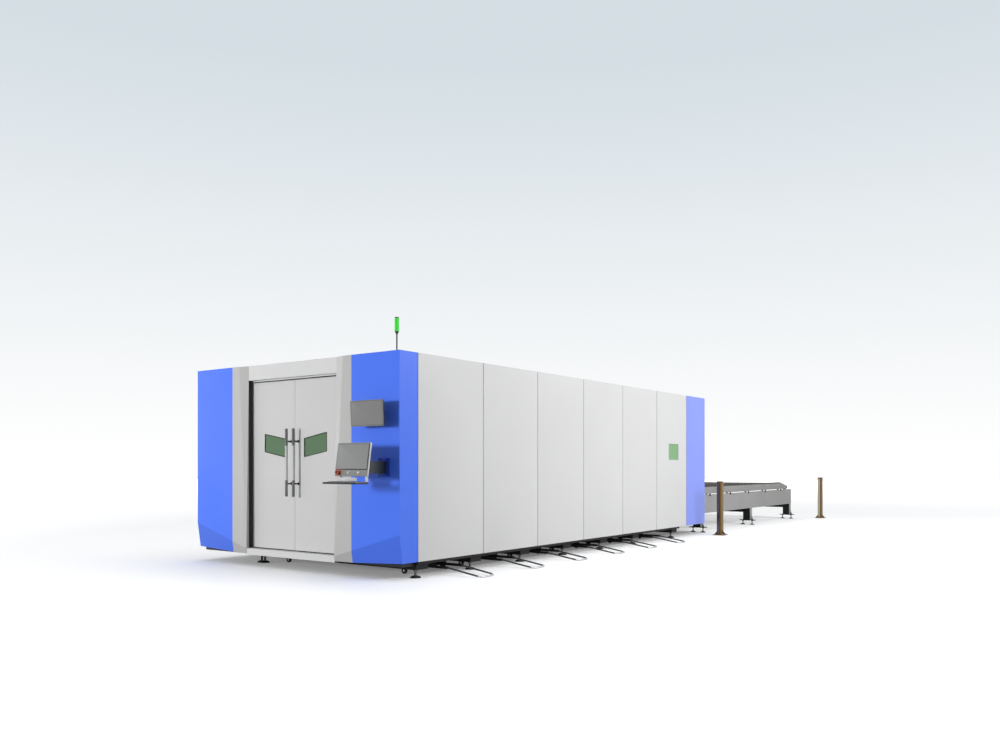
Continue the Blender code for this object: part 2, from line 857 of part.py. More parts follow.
def make_bed():
    """The welded bed: side walls, cross beams, pallet ledges, gantry rails and levelling feet."""
    wall_inner = -bed_inset - bed_wall
    right_wall = ((-bed_inset, 0, bed_floor), (wall_inner, table_start - fit_gap, bed_top))
    walls = solid()
    beams = solid()
    rails = solid()
    studs = solid()
    pads = solid()
    low = (wall_inner, *right_wall[0][1:])
    high = (-bed_inset, *right_wall[1][1:])
    add_box(walls, low, high)
    add_box(walls, (2 * bed_middle + bed_inset, *low[1:]), (2 * bed_middle - wall_inner, *high[1:]))

    left_edge = 2 * bed_middle + cross_beam_reach
    for index, start in enumerate(stations()):
        beam_left = side_rail_inset + overlap - cabin_width if index >= outrigger_first else left_edge
        beam_low = (beam_left, start, cross_beam_floor)
        add_box(beams, beam_low, (-cross_beam_reach, start + cross_beam_length, cross_beam_top))
        foot_places = [-foot_step, 2 * bed_middle + foot_step]
        if index >= outrigger_first:
            foot_places.append(foot_step - cabin_width)
        for x in foot_places:
            y = start + foot_inset
            add_foot(studs, x, y, cross_beam_floor + overlap, stud_radius)
            add_rod(pads, (x, y, 0), (x, y, pad_height), pad_radius, pad_sides, pad_radius - overrun)

    rail_top = panel_floor - fit_gap
    rail_span = (bed_inset + overlap, side_rail_inset)
    add_box(rails, (-rail_span[0], 0, bed_floor), (-rail_span[1], side_rail_length, rail_top))
    left_rail = (side_rail_inset - cabin_width, side_rail_width - cabin_width)
    add_box(rails, (left_rail[0], 0, bed_floor), (left_rail[1], side_rail_length, rail_top))
    for level in (lower_level, upper_level):
        ledge_low = (wall_inner - ledge_reach, ledge_start, level - ledge_height - fit_gap)
        ledge_high = (wall_inner + overlap, table_start - fit_gap, level - fit_gap)
        add_box(rails, ledge_low, ledge_high)
        mirrored = (2 * bed_middle - ledge_high[0], 2 * bed_middle - ledge_low[0])
        add_box(rails, (mirrored[0], *ledge_low[1:]), (mirrored[1], *ledge_high[1:]))
    rail_middle = bed_inset + bed_wall / 2
    for middle in (-rail_middle, 2 * bed_middle + rail_middle):
        half = gantry_rail_width / 2
        rail_low = (middle - half, 0, bed_top - overlap)
        add_box(rails, rail_low, (middle + half, table_start - fit_gap, bed_top + gantry_rail_height))

    tie_low = (left_rail[0], 0, bed_floor)
    front_tie = solid((add_box, tie_low, (-cross_beam_reach, front_tie_depth, cross_beam_top)))
    bed = combine(
        walls,
        ("UNION", beams),
        ("UNION", front_tie),
        ("UNION", rails),
        ("UNION", studs),
        ("UNION", pads),
    )
    place_part("bed_frame", bed, black_paint)


def pallet_shape():
    """A pallet at the exchange table: side rails with a sloped end, cross beams and toothed slats."""
    right = bed_middle + pallet_width / 2
    left = bed_middle - pallet_width / 2
    start = pallet_start
    end = pallet_start + pallet_length
    foot = upper_level
    top = upper_level + pallet_height
    side = [
        (start, foot),
        (end, foot),
        (end, top - pallet_slope_drop),
        (end - pallet_slope_run, top),
        (start, top),
    ]
    rails = solid(
        (add_slab, "YZ", [side], right - pallet_rail, right),
        (add_slab, "YZ", [side], left, left + pallet_rail),
    )
    beams = solid()
    inner = (left + pallet_rail - overlap, right - pallet_rail + overlap)
    spacing = (pallet_length - pallet_beam_width) / (pallet_beam_count - 1)
    for index in range(pallet_beam_count):
        beam_start = start + index * spacing
        beam_low = (inner[0], beam_start, foot)
        add_box(beams, beam_low, (inner[1], beam_start + pallet_beam_width, foot + pallet_beam_height))
    slats = solid()
    tip = top - slat_top_gap
    root = tip - slat_tooth_height
    tooth_pitch = (inner[1] - inner[0]) / slat_tooth_count
    teeth = []
    for index in range(slat_tooth_count):
        edge = inner[1] - index * tooth_pitch
        teeth += [(edge, root), (edge - tooth_pitch / 2, tip)]
    outline = [(inner[0], foot + slat_foot), (inner[1], foot + slat_foot), *teeth, (inner[0], root)]
    slat_run = pallet_length - pallet_slope_run - pallet_beam_width
    for index in range(slat_count):
        place = start + pallet_beam_width / 2 + index * slat_run / (slat_count - 1)
        add_slab(slats, "XZ", [outline], place - slat_thickness / 2, place + slat_thickness / 2)
    return combine(rails, ("UNION", beams), ("UNION", slats))


def make_pallets():
    """The pallet on the exchange table, and its twin waiting lower down inside the enclosure."""
    pivot = (bed_middle, pallet_start, upper_level)
    outer = place_part("exchange_pallet", pallet_shape(), slat_steel, pivot)
    copy_part(outer, "cabin_pallet", (0, -pallet_travel, lower_level - upper_level))


def make_table():
    """The exchange table: side beams with guide rollers at two levels, end beam and ties."""
    end = table_start + table_length
    right = -table_inset
    left = 2 * bed_middle + table_inset
    sides = solid(
        (add_box, (right - table_side, table_start, table_floor), (right, end, table_top)),
        (add_box, (left, table_start, table_floor), (left + table_side, end, table_top)),
    )
    inner = (left + table_side - overlap, right - table_side + overlap)
    ties = solid()
    end_low = (inner[0], end - table_end_thickness, table_floor)
    add_box(ties, end_low, (inner[1], end, lower_level))
    spacing = (table_length - table_end_thickness) / table_tie_count
    for index in range(table_tie_count):
        tie_start = table_start + overrun + index * spacing
        tie_low = (inner[0], tie_start, table_floor)
        add_box(ties, tie_low, (inner[1], tie_start + table_tie_width, table_floor + table_tie_height))
    rollers = solid()
    roller_spacing = (pallet_length - 2 * roller_radius) / roller_count
    for level in (lower_level, upper_level):
        centre = level - fit_gap - roller_radius
        for index in range(roller_count):
            y = pallet_start + roller_spacing * (index + 1 / 2)
            for face, out in ((right - table_side + overlap, -1), (left + table_side - overlap, 1)):
                tip = face + out * (roller_width + overlap)
                add_rod(rollers, (face, y, centre), (tip, y, centre), roller_radius, roller_sides)
    table = combine(sides, ("UNION", ties), ("UNION", rollers))
    place_part("exchange_frame", table, table_paint)


def leg_frame_shape(place):
    """A portal under the table: two box legs, a tie, base plates and two pads under each plate."""
    legs = solid()
    plates = solid()
    pads = solid()
    tie_top = table_floor - fit_gap
    right_middle = -table_inset - leg_width / 2 + overrun
    middles = (right_middle, 2 * bed_middle - right_middle)
    for middle in middles:
        half = leg_width / 2
        leg_low = (middle - half, place - leg_length / 2, leg_plate_floor + leg_plate_thickness - overlap)
        add_box(legs, leg_low, (middle + half, place + leg_length / 2, tie_top))
        plate_half = leg_plate_width / 2
        plate_low = (middle - plate_half, place - leg_plate_length / 2, leg_plate_floor)
        plate_top = leg_plate_floor + leg_plate_thickness
        add_box(plates, plate_low, (middle + plate_half, place + leg_plate_length / 2, plate_top))
        for x in (middle - leg_pad_spread, middle + leg_pad_spread):
            add_rod(pads, (x, place, 0), (x, place, pad_height), leg_pad_radius, pad_sides, stud_radius)
    studs = solid(*(
        (add_foot, x, place, leg_plate_floor + overlap, stud_radius * leg_stud_share)
        for middle in middles
        for x in (middle - leg_pad_spread, middle + leg_pad_spread)
    ))
    tie_low = (middles[1], place - leg_tie_width / 2, tie_top - leg_tie_height)
    tie = solid((add_box, tie_low, (middles[0], place + leg_tie_width / 2, tie_top)))
    return combine(legs, ("UNION", tie), ("UNION", plates), ("UNION", studs), ("UNION", pads))


def make_leg_frames():
    """Three alike portals carry the exchange table."""
    first = place_part("exchange_leg_frame_1", leg_frame_shape(leg_places[0]), black_paint)
    for index, place in enumerate(leg_places[1:]):
        copy_part(first, f"exchange_leg_frame_{index + 2}", (0, place - leg_places[0], 0))


def cart_shape(place):
    """A slag cart: open tray, wheels on its long sides, and two hitch arms with hinge knuckles."""
    right = -cart_inset
    left = right - cart_length
    half = cart_width / 2
    low = (left, place - half, cart_floor)
    high = (right, place + half, cart_top)
    pocket_low = (left + cart_wall, place - half + cart_wall, cart_floor + cart_wall)
    pocket_high = (right - cart_wall, place + half - cart_wall, cart_top + overrun)
    wheels = solid()
    for share in cart_wheel_shares:
        x = right - share * cart_length
        for side in (-1, 1):
            inside = (x, place + side * (half - overlap), cart_wheel_radius)
            outside = (x, place + side * (half + cart_wheel_width), cart_wheel_radius)
            add_rod(wheels, inside, outside, cart_wheel_radius, cart_sides)
    arms = solid()
    knuckles = solid()
    for side in (-1, 1):
        middle = place + side * hitch_spread
        arm_low = (right - overlap, middle - hitch_width / 2, hinge_height - hitch_height / 2)
        arm_high = (hitch_reach, middle + hitch_width / 2, hinge_height + hitch_height / 2)
        add_box(arms, arm_low, arm_high)
        near = (hitch_reach, middle - hitch_width / 2, hinge_height)
        far = (hitch_reach, middle + hitch_width / 2, hinge_height)
        add_rod(knuckles, near, far, hinge_radius, cart_sides)
    return combine(
        solid((add_box, low, high)),
        ("DIFFERENCE", solid((add_box, pocket_low, pocket_high))),
        ("UNION", wheels),
        ("UNION", arms),
        ("UNION", knuckles),
    )


def tow_handle_path(place):
    """Half-round corners join the two legs of the handle to its end bar on the floor."""
    start = Vector((hitch_reach, 0, hinge_height))
    end = Vector((hitch_reach + tow_reach - tow_bar_radius, 0, tow_bar_radius))
    down = (end - start).normalized()
    leg_end = end - down * tow_corner
    inside = hitch_width / 2 + fit_gap + tow_bar_radius
    spread = hitch_spread - inside
    points = [start + Vector((0, -spread, 0))]
    for index in range(tow_corner_points + 1):
        angle = math.pi / 2 * index / tow_corner_points
        aside = Vector((0, -spread + tow_corner * (1 - math.cos(angle)), 0))
        points.append(leg_end + down * tow_corner * math.sin(angle) + aside)
    mirrored = [Vector((point.x, -point.y, point.z)) for point in reversed(points)]
    return [point + Vector((0, place, 0)) for point in points + mirrored]


def tow_handle_shape(place):
    """The U-shaped tow handle, with a pin at each leg that stands against the hitch arm."""
    bar = bar_along(tow_handle_path(place), tow_bar_radius, 1)
    eyes = solid()
    inner_face = hitch_spread - hitch_width / 2 - fit_gap
    for side in (-1, 1):
        near = (hitch_reach, place + side * inner_face, hinge_height)
        far = (hitch_reach, place + side * (inner_face - 2 * tow_bar_radius), hinge_height)
        add_rod(eyes, near, far, hinge_radius, cart_sides)
    return combine(bar, ("UNION", eyes))


def make_carts():
    """Six slag carts, each with its tow handle lowered to the floor."""
    cart_pivot = (-cart_inset, cart_first, 0)
    cart = place_part("slag_cart_1", cart_shape(cart_first), black_paint, cart_pivot)
    hinge = (hitch_reach, cart_first, hinge_height)
    handle = place_part("cart_handle_1", tow_handle_shape(cart_first), black_paint, hinge)
    for index in range(1, side_panel_count):
        shift = (0, index * bay_pitch, 0)
        copy_part(cart, f"slag_cart_{index + 1}", shift)
        copy_part(handle, f"cart_handle_{index + 1}", shift)


def make_gantry():
    """The gantry on the bed's rails, its head carriage, and the cutting head on a vertical slide."""
    foot = bed_top + gantry_rail_height + fit_gap
    rail_middle = bed_inset + bed_wall / 2
    right = -rail_middle
    left = 2 * bed_middle + rail_middle
    trucks = solid()
    half_truck = gantry_truck_width / 2
    for middle in (left, right):
        half_length = gantry_truck_length / 2
        truck_low = (middle - half_truck, gantry_place - half_length, foot)
        truck_high = (middle + half_truck, gantry_place + half_length, foot + gantry_truck_height)
        add_box(trucks, truck_low, truck_high)
    base = foot + gantry_truck_height - overlap
    beam_left = left - half_truck + overlap
    beam_right = right + half_truck - overlap
    outline = [
        (beam_left, base),
        (left + half_truck, base),
        (left + half_truck + gantry_belly, base + gantry_belly),
        (right - half_truck - gantry_belly, base + gantry_belly),
        (right - half_truck, base),
        (beam_right, base),
        (beam_right, base + gantry_height - gantry_belly),
        (beam_right - gantry_belly, base + gantry_height),
        (beam_left + gantry_belly, base + gantry_height),
        (beam_left, base + gantry_height - gantry_belly),
    ]
    beam_front = gantry_place - gantry_depth / 2
    beam = solid((add_slab, "XZ", [outline], beam_front, beam_front + gantry_depth))
    gantry = combine(trucks, ("UNION", beam))
    place_part("gantry_beam", gantry, grey_paint, (bed_middle, gantry_place, foot))

    carriage_back = beam_front - fit_gap
    carriage_front = carriage_back - carriage_depth
    carriage_foot = base + carriage_lift
    half = carriage_width / 2
    carriage_low = (bed_middle - half, carriage_front, carriage_foot)
    carriage_high = (bed_middle + half, carriage_back, carriage_foot + carriage_height)
    carriage = solid((add_box, carriage_low, carriage_high))
    place_part("head_carriage", carriage, console_grey, (bed_middle, carriage_back, carriage_foot))

    tip = upper_level + pallet_height + nozzle_clearance
    cone_foot = tip + nozzle_height
    body_foot = cone_foot + head_cone_height
    body_top = body_foot + head_body_height
    plate_front = carriage_front - fit_gap - head_plate_depth
    axis_y = plate_front - head_radius + overrun
    profile = [
        (0, body_top),
        (head_radius, body_top),
        (head_radius, body_foot),
        (nozzle_radius, cone_foot),
        (nozzle_radius, cone_foot - nozzle_height / 2),
        (nozzle_tip_radius, tip),
        (0, tip),
    ]
    body = turned(profile, (bed_middle, axis_y, 0), head_sides)
    plate_half = head_plate_width / 2
    plate_low = (bed_middle - plate_half, plate_front, body_foot)
    plate_high = (bed_middle + plate_half, carriage_front - fit_gap, body_foot + head_plate_height)
    head = combine(body, ("UNION", solid((add_box, plate_low, plate_high))))
    place_part("cutting_head", head, console_grey, (bed_middle, axis_y, tip), smooth=True)


def lean_about(shape, angle, pivot):
    """Turns a bmesh about an axis along x through a point."""
    turn = Matrix.Translation(pivot) @ Matrix.Rotation(angle, 4, "X") @ Matrix.Translation(-Vector(pivot))
    bmesh.ops.transform(shape, matrix=turn, verts=shape.verts)
    return shape


def make_console():
    """The operator console on its swivel arm, with screen, keyboard tray, stop and buttons."""
    pivot = Vector((-arm_pivot_side, front_face - arm_pivot_stand, arm_foot))
    swivel = bpy.data.objects.new("console_swivel", None)
    swivel.location = pivot
    swivel.parent = floor_origin
    machine.objects.link(swivel)

    bracket_top = arm_foot + arm_height + bracket_margin
    bracket_foot = arm_foot - bracket_margin
    half = bracket_width / 2
    plate_back = front_face - fit_gap
    plate = solid((add_box, (-arm_pivot_side - half, plate_back - bracket_plate, bracket_foot),
                   (-arm_pivot_side + half, plate_back, bracket_top)))
    ears = solid()
    for low, high in (
        (bracket_foot, arm_foot - fit_gap),
        (arm_foot + arm_height + fit_gap, bracket_top),
    ):
        ear_low = (-arm_pivot_side - arm_pivot_radius, pivot.y - arm_pivot_radius, low)
        add_box(ears, ear_low, (-arm_pivot_side + arm_pivot_radius, plate_back - overlap, high))
    place_part("console_bracket", combine(plate, ("UNION", ears)), tray_black)

    face_foot = front_face - console_reach
    back_foot = face_foot + console_thickness
    arm_end = back_foot + math.tan(console_lean) * (arm_foot - console_foot) - fit_gap
    knuckle_radius = arm_pivot_radius - overlap
    top = arm_foot + arm_height
    knuckle = solid((add_rod, pivot, (pivot.x, pivot.y, top), knuckle_radius, 16))
    arm_low = (-arm_pivot_side - arm_width / 2 + overlap, arm_end, arm_foot + overlap)
    arm_box = solid((add_box, (arm_low[0], arm_end - overrun, arm_low[2]),
                     (-arm_pivot_side + arm_width / 2 - overlap, pivot.y, top - overlap)))
    hinge_line = (0, face_foot, console_foot)
    left = -console_left
    right = left + console_width
    room = solid((add_box, (left, face_foot, console_foot),
                  (right, back_foot + fit_gap, console_foot + console_height)))
    lean_about(room, -console_lean, hinge_line)
    arm = combine(knuckle, ("UNION", arm_box), ("DIFFERENCE", room))
    place_part("console_arm", arm, tray_black, pivot, swivel)

    housing_low = (left, face_foot, console_foot)
    housing_high = (right, back_foot, console_foot + console_height)
    screen_foot = console_foot + control_strip
    screen_low = (left + screen_margin, face_foot - overrun, screen_foot)
    screen_high = (right - screen_margin, face_foot + screen_thickness, housing_high[2] - screen_margin)
    row = console_foot + control_strip * control_row_share
    stop_x = left + console_width * stop_place_share
    button_places = [left + console_width * share for share in button_place_shares]
    pockets = solid()
    for x, radius, travel in (
        (stop_x, stop_radius, stop_travel),
        *((x, button_radius, button_travel) for x in button_places),
    ):
        deep = face_foot + button_sink + travel + fit_gap
        add_rod(pockets, (x, face_foot - overrun, row), (x, deep, row), radius + fit_gap, button_sides)
    housing = combine(
        solid((add_box, housing_low, housing_high)),
        ("DIFFERENCE", solid((add_box, screen_low, screen_high))),
        ("DIFFERENCE", pockets),
    )
    lean_about(housing, -console_lean, hinge_line)
    place_part("console_housing", housing, console_grey, pivot, swivel)

    edge = Vector((fit_gap, 0, fit_gap))
    glass_low = Vector((screen_low[0], face_foot, screen_low[2])) + edge
    glass_high = Vector((screen_high[0], screen_high[1] - fit_gap, screen_high[2])) - edge
    glass = lean_about(solid((add_box, glass_low, glass_high)), -console_lean, hinge_line)
    place_part("console_screen", glass, screen_glass, pivot, swivel)

    sunk = face_foot + button_sink
    stem = solid((add_rod, (stop_x, sunk, row), (stop_x, face_foot - stop_height, row), stop_radius,
                  button_sides))
    head_foot = face_foot - stop_height / 2
    head = solid((add_rod, (stop_x, head_foot, row), (stop_x, face_foot - stop_height - overlap, row),
                  stop_head_radius, button_sides))
    stop = lean_about(combine(stem, ("UNION", head)), -console_lean, hinge_line)
    seat = lean_about_point((stop_x, face_foot, row), -console_lean, hinge_line)
    place_part("emergency_stop", stop, stop_red, seat, swivel, smooth=True)
    for name, x in zip(("start_button", "reset_button"), button_places):
        button = solid((add_rod, (x, sunk, row), (x, face_foot - button_height, row), button_radius,
                        button_sides))
        lean_about(button, -console_lean, hinge_line)
        seat = lean_about_point((x, face_foot, row), -console_lean, hinge_line)
        place_part(name, button, button_white, seat, swivel, smooth=True)

    tray_back = face_foot - tray_setback
    tray_top = tray_floor + tray_thickness
    tray_low = (-tray_left, tray_back - tray_depth, tray_floor)
    tray_high = (tray_width - tray_left, tray_back, tray_top)
    knuckle_y = tray_back + tray_ear_thickness / 2
    underside = console_foot - (knuckle_y - face_foot) * math.tan(console_lean)
    knuckle_z = underside - (tray_knuckle_radius + fit_gap) / math.cos(console_lean)
    ears = solid()
    knuckles = solid()
    for x in (-tray_left + tray_ear_width, tray_width - tray_left - 2 * tray_ear_width):
        far = x + tray_ear_width
        add_box(ears, (x, tray_back - overlap, tray_floor), (far, tray_back + tray_ear_thickness, knuckle_z))
        add_rod(knuckles, (x, knuckle_y, knuckle_z), (far, knuckle_y, knuckle_z), tray_knuckle_radius, 10)
    tray = combine(solid((add_box, tray_low, tray_high)), ("UNION", ears), ("UNION", knuckles))
    tray_pivot = (pivot.x, knuckle_y, knuckle_z)
    place_part("keyboard_tray", tray, tray_black, tray_pivot, swivel)


def lean_about_point(point, angle, pivot):
    """Where a point goes when its piece leans about an axis along x."""
    return Matrix.Rotation(angle, 3, "X") @ (Vector(point) - Vector(pivot)) + Vector(pivot)


def make_monitor():
    """The second monitor above the console, tilting on the round knuckle of its bracket."""
    face = front_face - monitor_reach
    back = face + monitor_thickness
    left = -monitor_left
    right = left + monitor_width
    middle_x = (left + right) / 2
    middle_z = monitor_foot + monitor_height / 2
    tilt_line = (middle_x, back + fit_gap + monitor_knuckle_radius, middle_z)
    monitor = solid((add_box, (left, face, monitor_foot), (right, back, monitor_foot + monitor_height)))
    lean_about(monitor, monitor_lean, tilt_line)
    place_part("monitor", monitor, console_grey, tilt_line)

    half_knuckle = monitor_knuckle_length / 2
    near = (middle_x - half_knuckle, *tilt_line[1:])
    far = (middle_x + half_knuckle, *tilt_line[1:])
    knuckle = solid((add_rod, near, far, monitor_knuckle_radius, 16))
    neck_half = monitor_neck_width / 2
    rise = monitor_knuckle_radius - overlap
    plate_back = front_face - fit_gap
    neck_low = (middle_x - neck_half, tilt_line[1], middle_z - rise)
    neck = solid((add_box, neck_low, (middle_x + neck_half, plate_back - overlap, middle_z + rise)))
    half = monitor_bracket_size / 2
    plate_low = (middle_x - half, plate_back - bracket_plate, middle_z - half)
    plate = solid((add_box, plate_low, (middle_x + half, plate_back, middle_z + half)))
    place_part("monitor_bracket", combine(plate, ("UNION", neck), ("UNION", knuckle)), tray_black)


def make_signal_tower():
    """The signal tower: base and pole, and the green lamp with its cone and cap."""
    x = -tower_side
    y = front_face + tower_setback
    top = tower_lamp_foot
    base_top = roof_top + fit_gap + tower_base_height
    pole_profile = [
        (0, top),
        (tower_pole_radius, top),
        (tower_pole_radius, base_top),
        (tower_base_radius, base_top),
        (tower_base_radius, roof_top + fit_gap),
        (0, roof_top + fit_gap),
    ]
    pole = turned(pole_profile, (x, y, 0), 14)
    place_part("signal_pole", pole, black_paint, (x, y, roof_top), smooth=True)
    foot = tower_lamp_foot + fit_gap
    crown = foot + tower_lamp_height
    lamp_profile = [
        (0, crown),
        (tower_lamp_radius * tower_crown_share, crown),
        (tower_lamp_radius, crown - tower_cap_height),
        (tower_lamp_radius, foot + tower_cone_height),
        (tower_pole_radius, foot),
        (0, foot),
    ]
    place_part("signal_lamp", turned(lamp_profile, (x, y, 0), 16), lamp_green, (x, y, foot), smooth=True)


def post_shape(place):
    """A light-curtain post: profile with a sensor slot, base plate and gussets."""
    half = post_size / 2
    slot = post_slot_width / 2
    x = post_side
    outline = [
        (x - half, place - half),
        (x - slot, place - half),
        (x - slot, place - half + post_slot_depth),
        (x + slot, place - half + post_slot_depth),
        (x + slot, place - half),
        (x + half, place - half),
        (x + half, place + half),
        (x - half, place + half),
    ]
    foot = post_plate_thickness - overlap
    column = solid((add_slab, "XY", [outline], foot, post_height))
    plate_half = post_plate / 2
    plate = solid((add_box, (x - plate_half, place - plate_half, 0),
                   (x + plate_half, place + plate_half, post_plate_thickness)))
    gussets = solid()
    reach = (plate_half - half) + overlap
    for out in (-1, 1):
        wall = x + out * (half - overlap)
        tip = wall + out * reach
        triangle = [(wall, foot), (tip, foot), (wall, foot + post_gusset)]
        thick = post_gusset_thickness / 2
        add_slab(gussets, "XZ", [triangle], place - thick, place + thick)
    return combine(column, ("UNION", plate), ("UNION", gussets))


def make_posts():
    """The near pair of light-curtain posts beside the exchange table."""
    pivot = (post_side, post_places[0], 0)
    front = place_part("light_post_front", post_shape(post_places[0]), post_bronze, pivot)
    copy_part(front, "light_post_rear", (0, post_places[1] - post_places[0], 0))


def make_cabinet():
    """The laser source cabinet on the bed's outriggers in the closed left part."""
    left = panel_depth + cabinet_side_gap - cabin_width
    right = left + cabinet_width
    foot = cross_beam_top + fit_gap
    body_low = (left, cabinet_start, foot + cabinet_plinth - overlap)
    body_high = (right, cabinet_start + cabinet_length, foot + cabinet_height)
    inset = cabinet_plinth_inset
    plinth_low = (left + inset, cabinet_start + inset, foot)
    plinth_high = (right - inset, cabinet_start + cabinet_length - inset, foot + cabinet_plinth)
    body = combine(
        solid((add_box, body_low, body_high)),
        ("UNION", solid((add_box, plinth_low, plinth_high))),
    )
    place_part("laser_source_cabinet", body, grey_paint)


make_side_panels()
make_left_wall()
make_front()
make_doors()
make_roof()
make_rear()
make_bed()
make_pallets()
make_table()
make_leg_frames()
make_carts()
make_gantry()
make_console()
make_monitor()
make_signal_tower()
make_posts()
make_cabinet()
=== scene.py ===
# %% Load the frame
import math

import bpy
import numpy as np
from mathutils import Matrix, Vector


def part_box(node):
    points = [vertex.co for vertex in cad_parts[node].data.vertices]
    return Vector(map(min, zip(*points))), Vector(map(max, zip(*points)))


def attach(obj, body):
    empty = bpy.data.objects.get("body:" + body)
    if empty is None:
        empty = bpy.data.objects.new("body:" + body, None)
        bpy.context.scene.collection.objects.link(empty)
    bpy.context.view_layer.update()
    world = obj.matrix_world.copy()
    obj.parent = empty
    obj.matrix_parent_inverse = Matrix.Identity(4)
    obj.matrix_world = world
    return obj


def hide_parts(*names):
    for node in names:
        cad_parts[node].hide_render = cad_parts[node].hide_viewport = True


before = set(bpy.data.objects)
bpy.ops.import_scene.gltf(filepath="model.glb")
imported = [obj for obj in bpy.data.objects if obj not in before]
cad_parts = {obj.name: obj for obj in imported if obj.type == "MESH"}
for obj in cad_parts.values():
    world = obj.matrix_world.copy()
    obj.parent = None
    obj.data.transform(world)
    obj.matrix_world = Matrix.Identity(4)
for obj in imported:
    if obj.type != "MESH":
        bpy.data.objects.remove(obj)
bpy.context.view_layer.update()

# %% [markdown]
# # An enclosed sheet laser cutter, dressed for its picture
# A machine of this size is folded sheet metal round a welded bed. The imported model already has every
# solid in its true place, so this lesson adds what a camera sees: paint with its fine orange peel, bent
# edges, rubber seals, rows of toothed slats, turned knobs and rollers.
#
# Places are given in the machine's own plan: x from the right wall's face, y from the front edge of the
# first side panel, z up from the floor. One function turns such a place into the frame's coordinates.

# %% The machine's plan
side_low, side_high = (np.array(limit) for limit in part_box("side_panel_right_1"))
corner = np.array([side_high[0], side_low[1] - 0.00015, 0.0])
X, Y, Z = np.eye(3)


def at(x, y, z):
    """A point of the machine's plan: the plan's corner plus x, y and z."""
    return corner + np.array([x, y, z], float)


def plan_box(node):
    """A node's lowest and highest corners in the machine's plan."""
    return tuple(np.array(limit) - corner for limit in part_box(node))


print("plan corner", corner.round(4))

# %% [markdown]
# ## The camera
# The picture was taken level, at about chest height, from the right front corner. A level camera keeps
# upright edges upright, and the lens is shifted up a little instead of tilted, as architectural
# photographers do.

# %% Camera
camera_data = bpy.data.cameras.new("camera")
camera = bpy.data.objects.new("camera", camera_data)
bpy.context.scene.collection.objects.link(camera)
camera.location = at(6.072, -6.875, 1.195)
camera.rotation_euler = (math.radians(90), 0, math.radians(36))
camera_data.lens = 30.96
camera_data.sensor_width = 36
camera_data.shift_y = 0.101
camera_data.clip_end = 200
bpy.context.scene.camera = camera
print("camera at", [round(value, 3) for value in camera.location])

# %% [markdown]
# ## Floor, room and lamps
# The machine stands in a plain pale room. The room lights it evenly and weakly. What the camera sees of
# the room, straight or in glass and metal, is brighter: white at the horizon, and a cool grey higher up.
# Light Path tells the two kinds of ray apart, so the white background throws no more light on the paint.

# %% Colours and node helpers
def linear(red, green, blue):
    """Screen colour, 0 to 255, as light: each share is raised to 2.4 after the 0.055 offset is taken out."""
    share = np.array([red, green, blue], float) / 255
    light = np.where(share <= 0.04045, share / 12.92, ((share + 0.055) / 1.055) ** 2.4)
    return (*map(float, light), 1.0)


def add_node(owner, kind, **values):
    """A new node in a material's or world's tree, with its plain settings and its sockets' values."""
    node = owner.node_tree.nodes.new(kind)
    for name, value in values.items():
        socket = name.replace("_", " ")
        if socket in node.inputs:
            node.inputs[socket].default_value = value
        else:
            setattr(node, name, value)
    return node


def wire(owner, *wires):
    """Links nodes: each wire is a node and its output, then a node and its input, by name or number."""
    for source, output, target, socket in wires:
        owner.node_tree.links.new(source.outputs[output], target.inputs[socket])


def colour_ramp(owner, *stops):
    """A ramp through stops of position and linear colour, in order. A new ramp has two stops already."""
    ramp = add_node(owner, "ShaderNodeValToRGB")
    elements = ramp.color_ramp.elements
    for number, (position, colour) in enumerate(stops):
        stop = elements[number] if number < 2 else elements.new(position)
        stop.position, stop.color = position, colour
    return ramp


# A Mix node has sockets for every kind of data, so those for colours go by number.
mix_first, mix_second, mix_result = 6, 7, 2


def colour_mix(owner, first, second, **values):
    """A node that mixes two linear colours by its Factor."""
    mix = add_node(owner, "ShaderNodeMix", data_type="RGBA", **values)
    mix.inputs[mix_first].default_value = first
    mix.inputs[mix_second].default_value = second
    return mix


def seen_rays(owner):
    """1 for rays from the camera, and for those that glass or a glossy surface sends on, else 0."""
    rays = add_node(owner, "ShaderNodeLightPath")
    mirrored = add_node(owner, "ShaderNodeMath", operation="MAXIMUM")
    either = add_node(owner, "ShaderNodeMath", operation="MAXIMUM")
    wire(owner, (rays, "Is Glossy Ray", mirrored, 0), (rays, "Is Transmission Ray", mirrored, 1),
         (rays, "Is Camera Ray", either, 0), (mirrored, 0, either, 1))
    return either


def shader_of(material):
    """The material's own Principled shader."""
    return material.node_tree.nodes["Principled BSDF"]


print("white as light", linear(255, 255, 255))

# %% The room
room_light = 0.36
white = linear(255, 255, 255)
low_stop, high_stop, high_grey = 0.02, 0.42, linear(212, 222, 228)
room = bpy.data.worlds.new("pale_room")
bpy.context.scene.world = room
room.use_nodes = True
room_glow = room.node_tree.nodes["Background"]
room_glow.inputs["Color"].default_value = white
room_glow.inputs["Strength"].default_value = room_light
room_wall = add_node(room, "ShaderNodeBackground", Strength=1.0)
room_direction = add_node(room, "ShaderNodeTexCoord")
room_height = add_node(room, "ShaderNodeSeparateXYZ")
room_shade = colour_ramp(room, (low_stop, white), (high_stop, high_grey))
room_mix = add_node(room, "ShaderNodeMixShader")
wire(room, (room_direction, "Generated", room_height, "Vector"), (room_height, "Z", room_shade, "Fac"),
     (room_shade, "Color", room_wall, "Color"), (seen_rays(room), 0, room_mix, "Fac"),
     (room_glow, "Background", room_mix, 1), (room_wall, "Background", room_mix, 2),
     (room_mix, "Shader", room.node_tree.nodes["World Output"], "Surface"))
print("room light", room_light)

# %% [markdown]
# The floor returns little light to the machine, but what the camera sees of it is pale. It glows a
# little where it is seen, more with the distance, until it meets the white of the horizon.

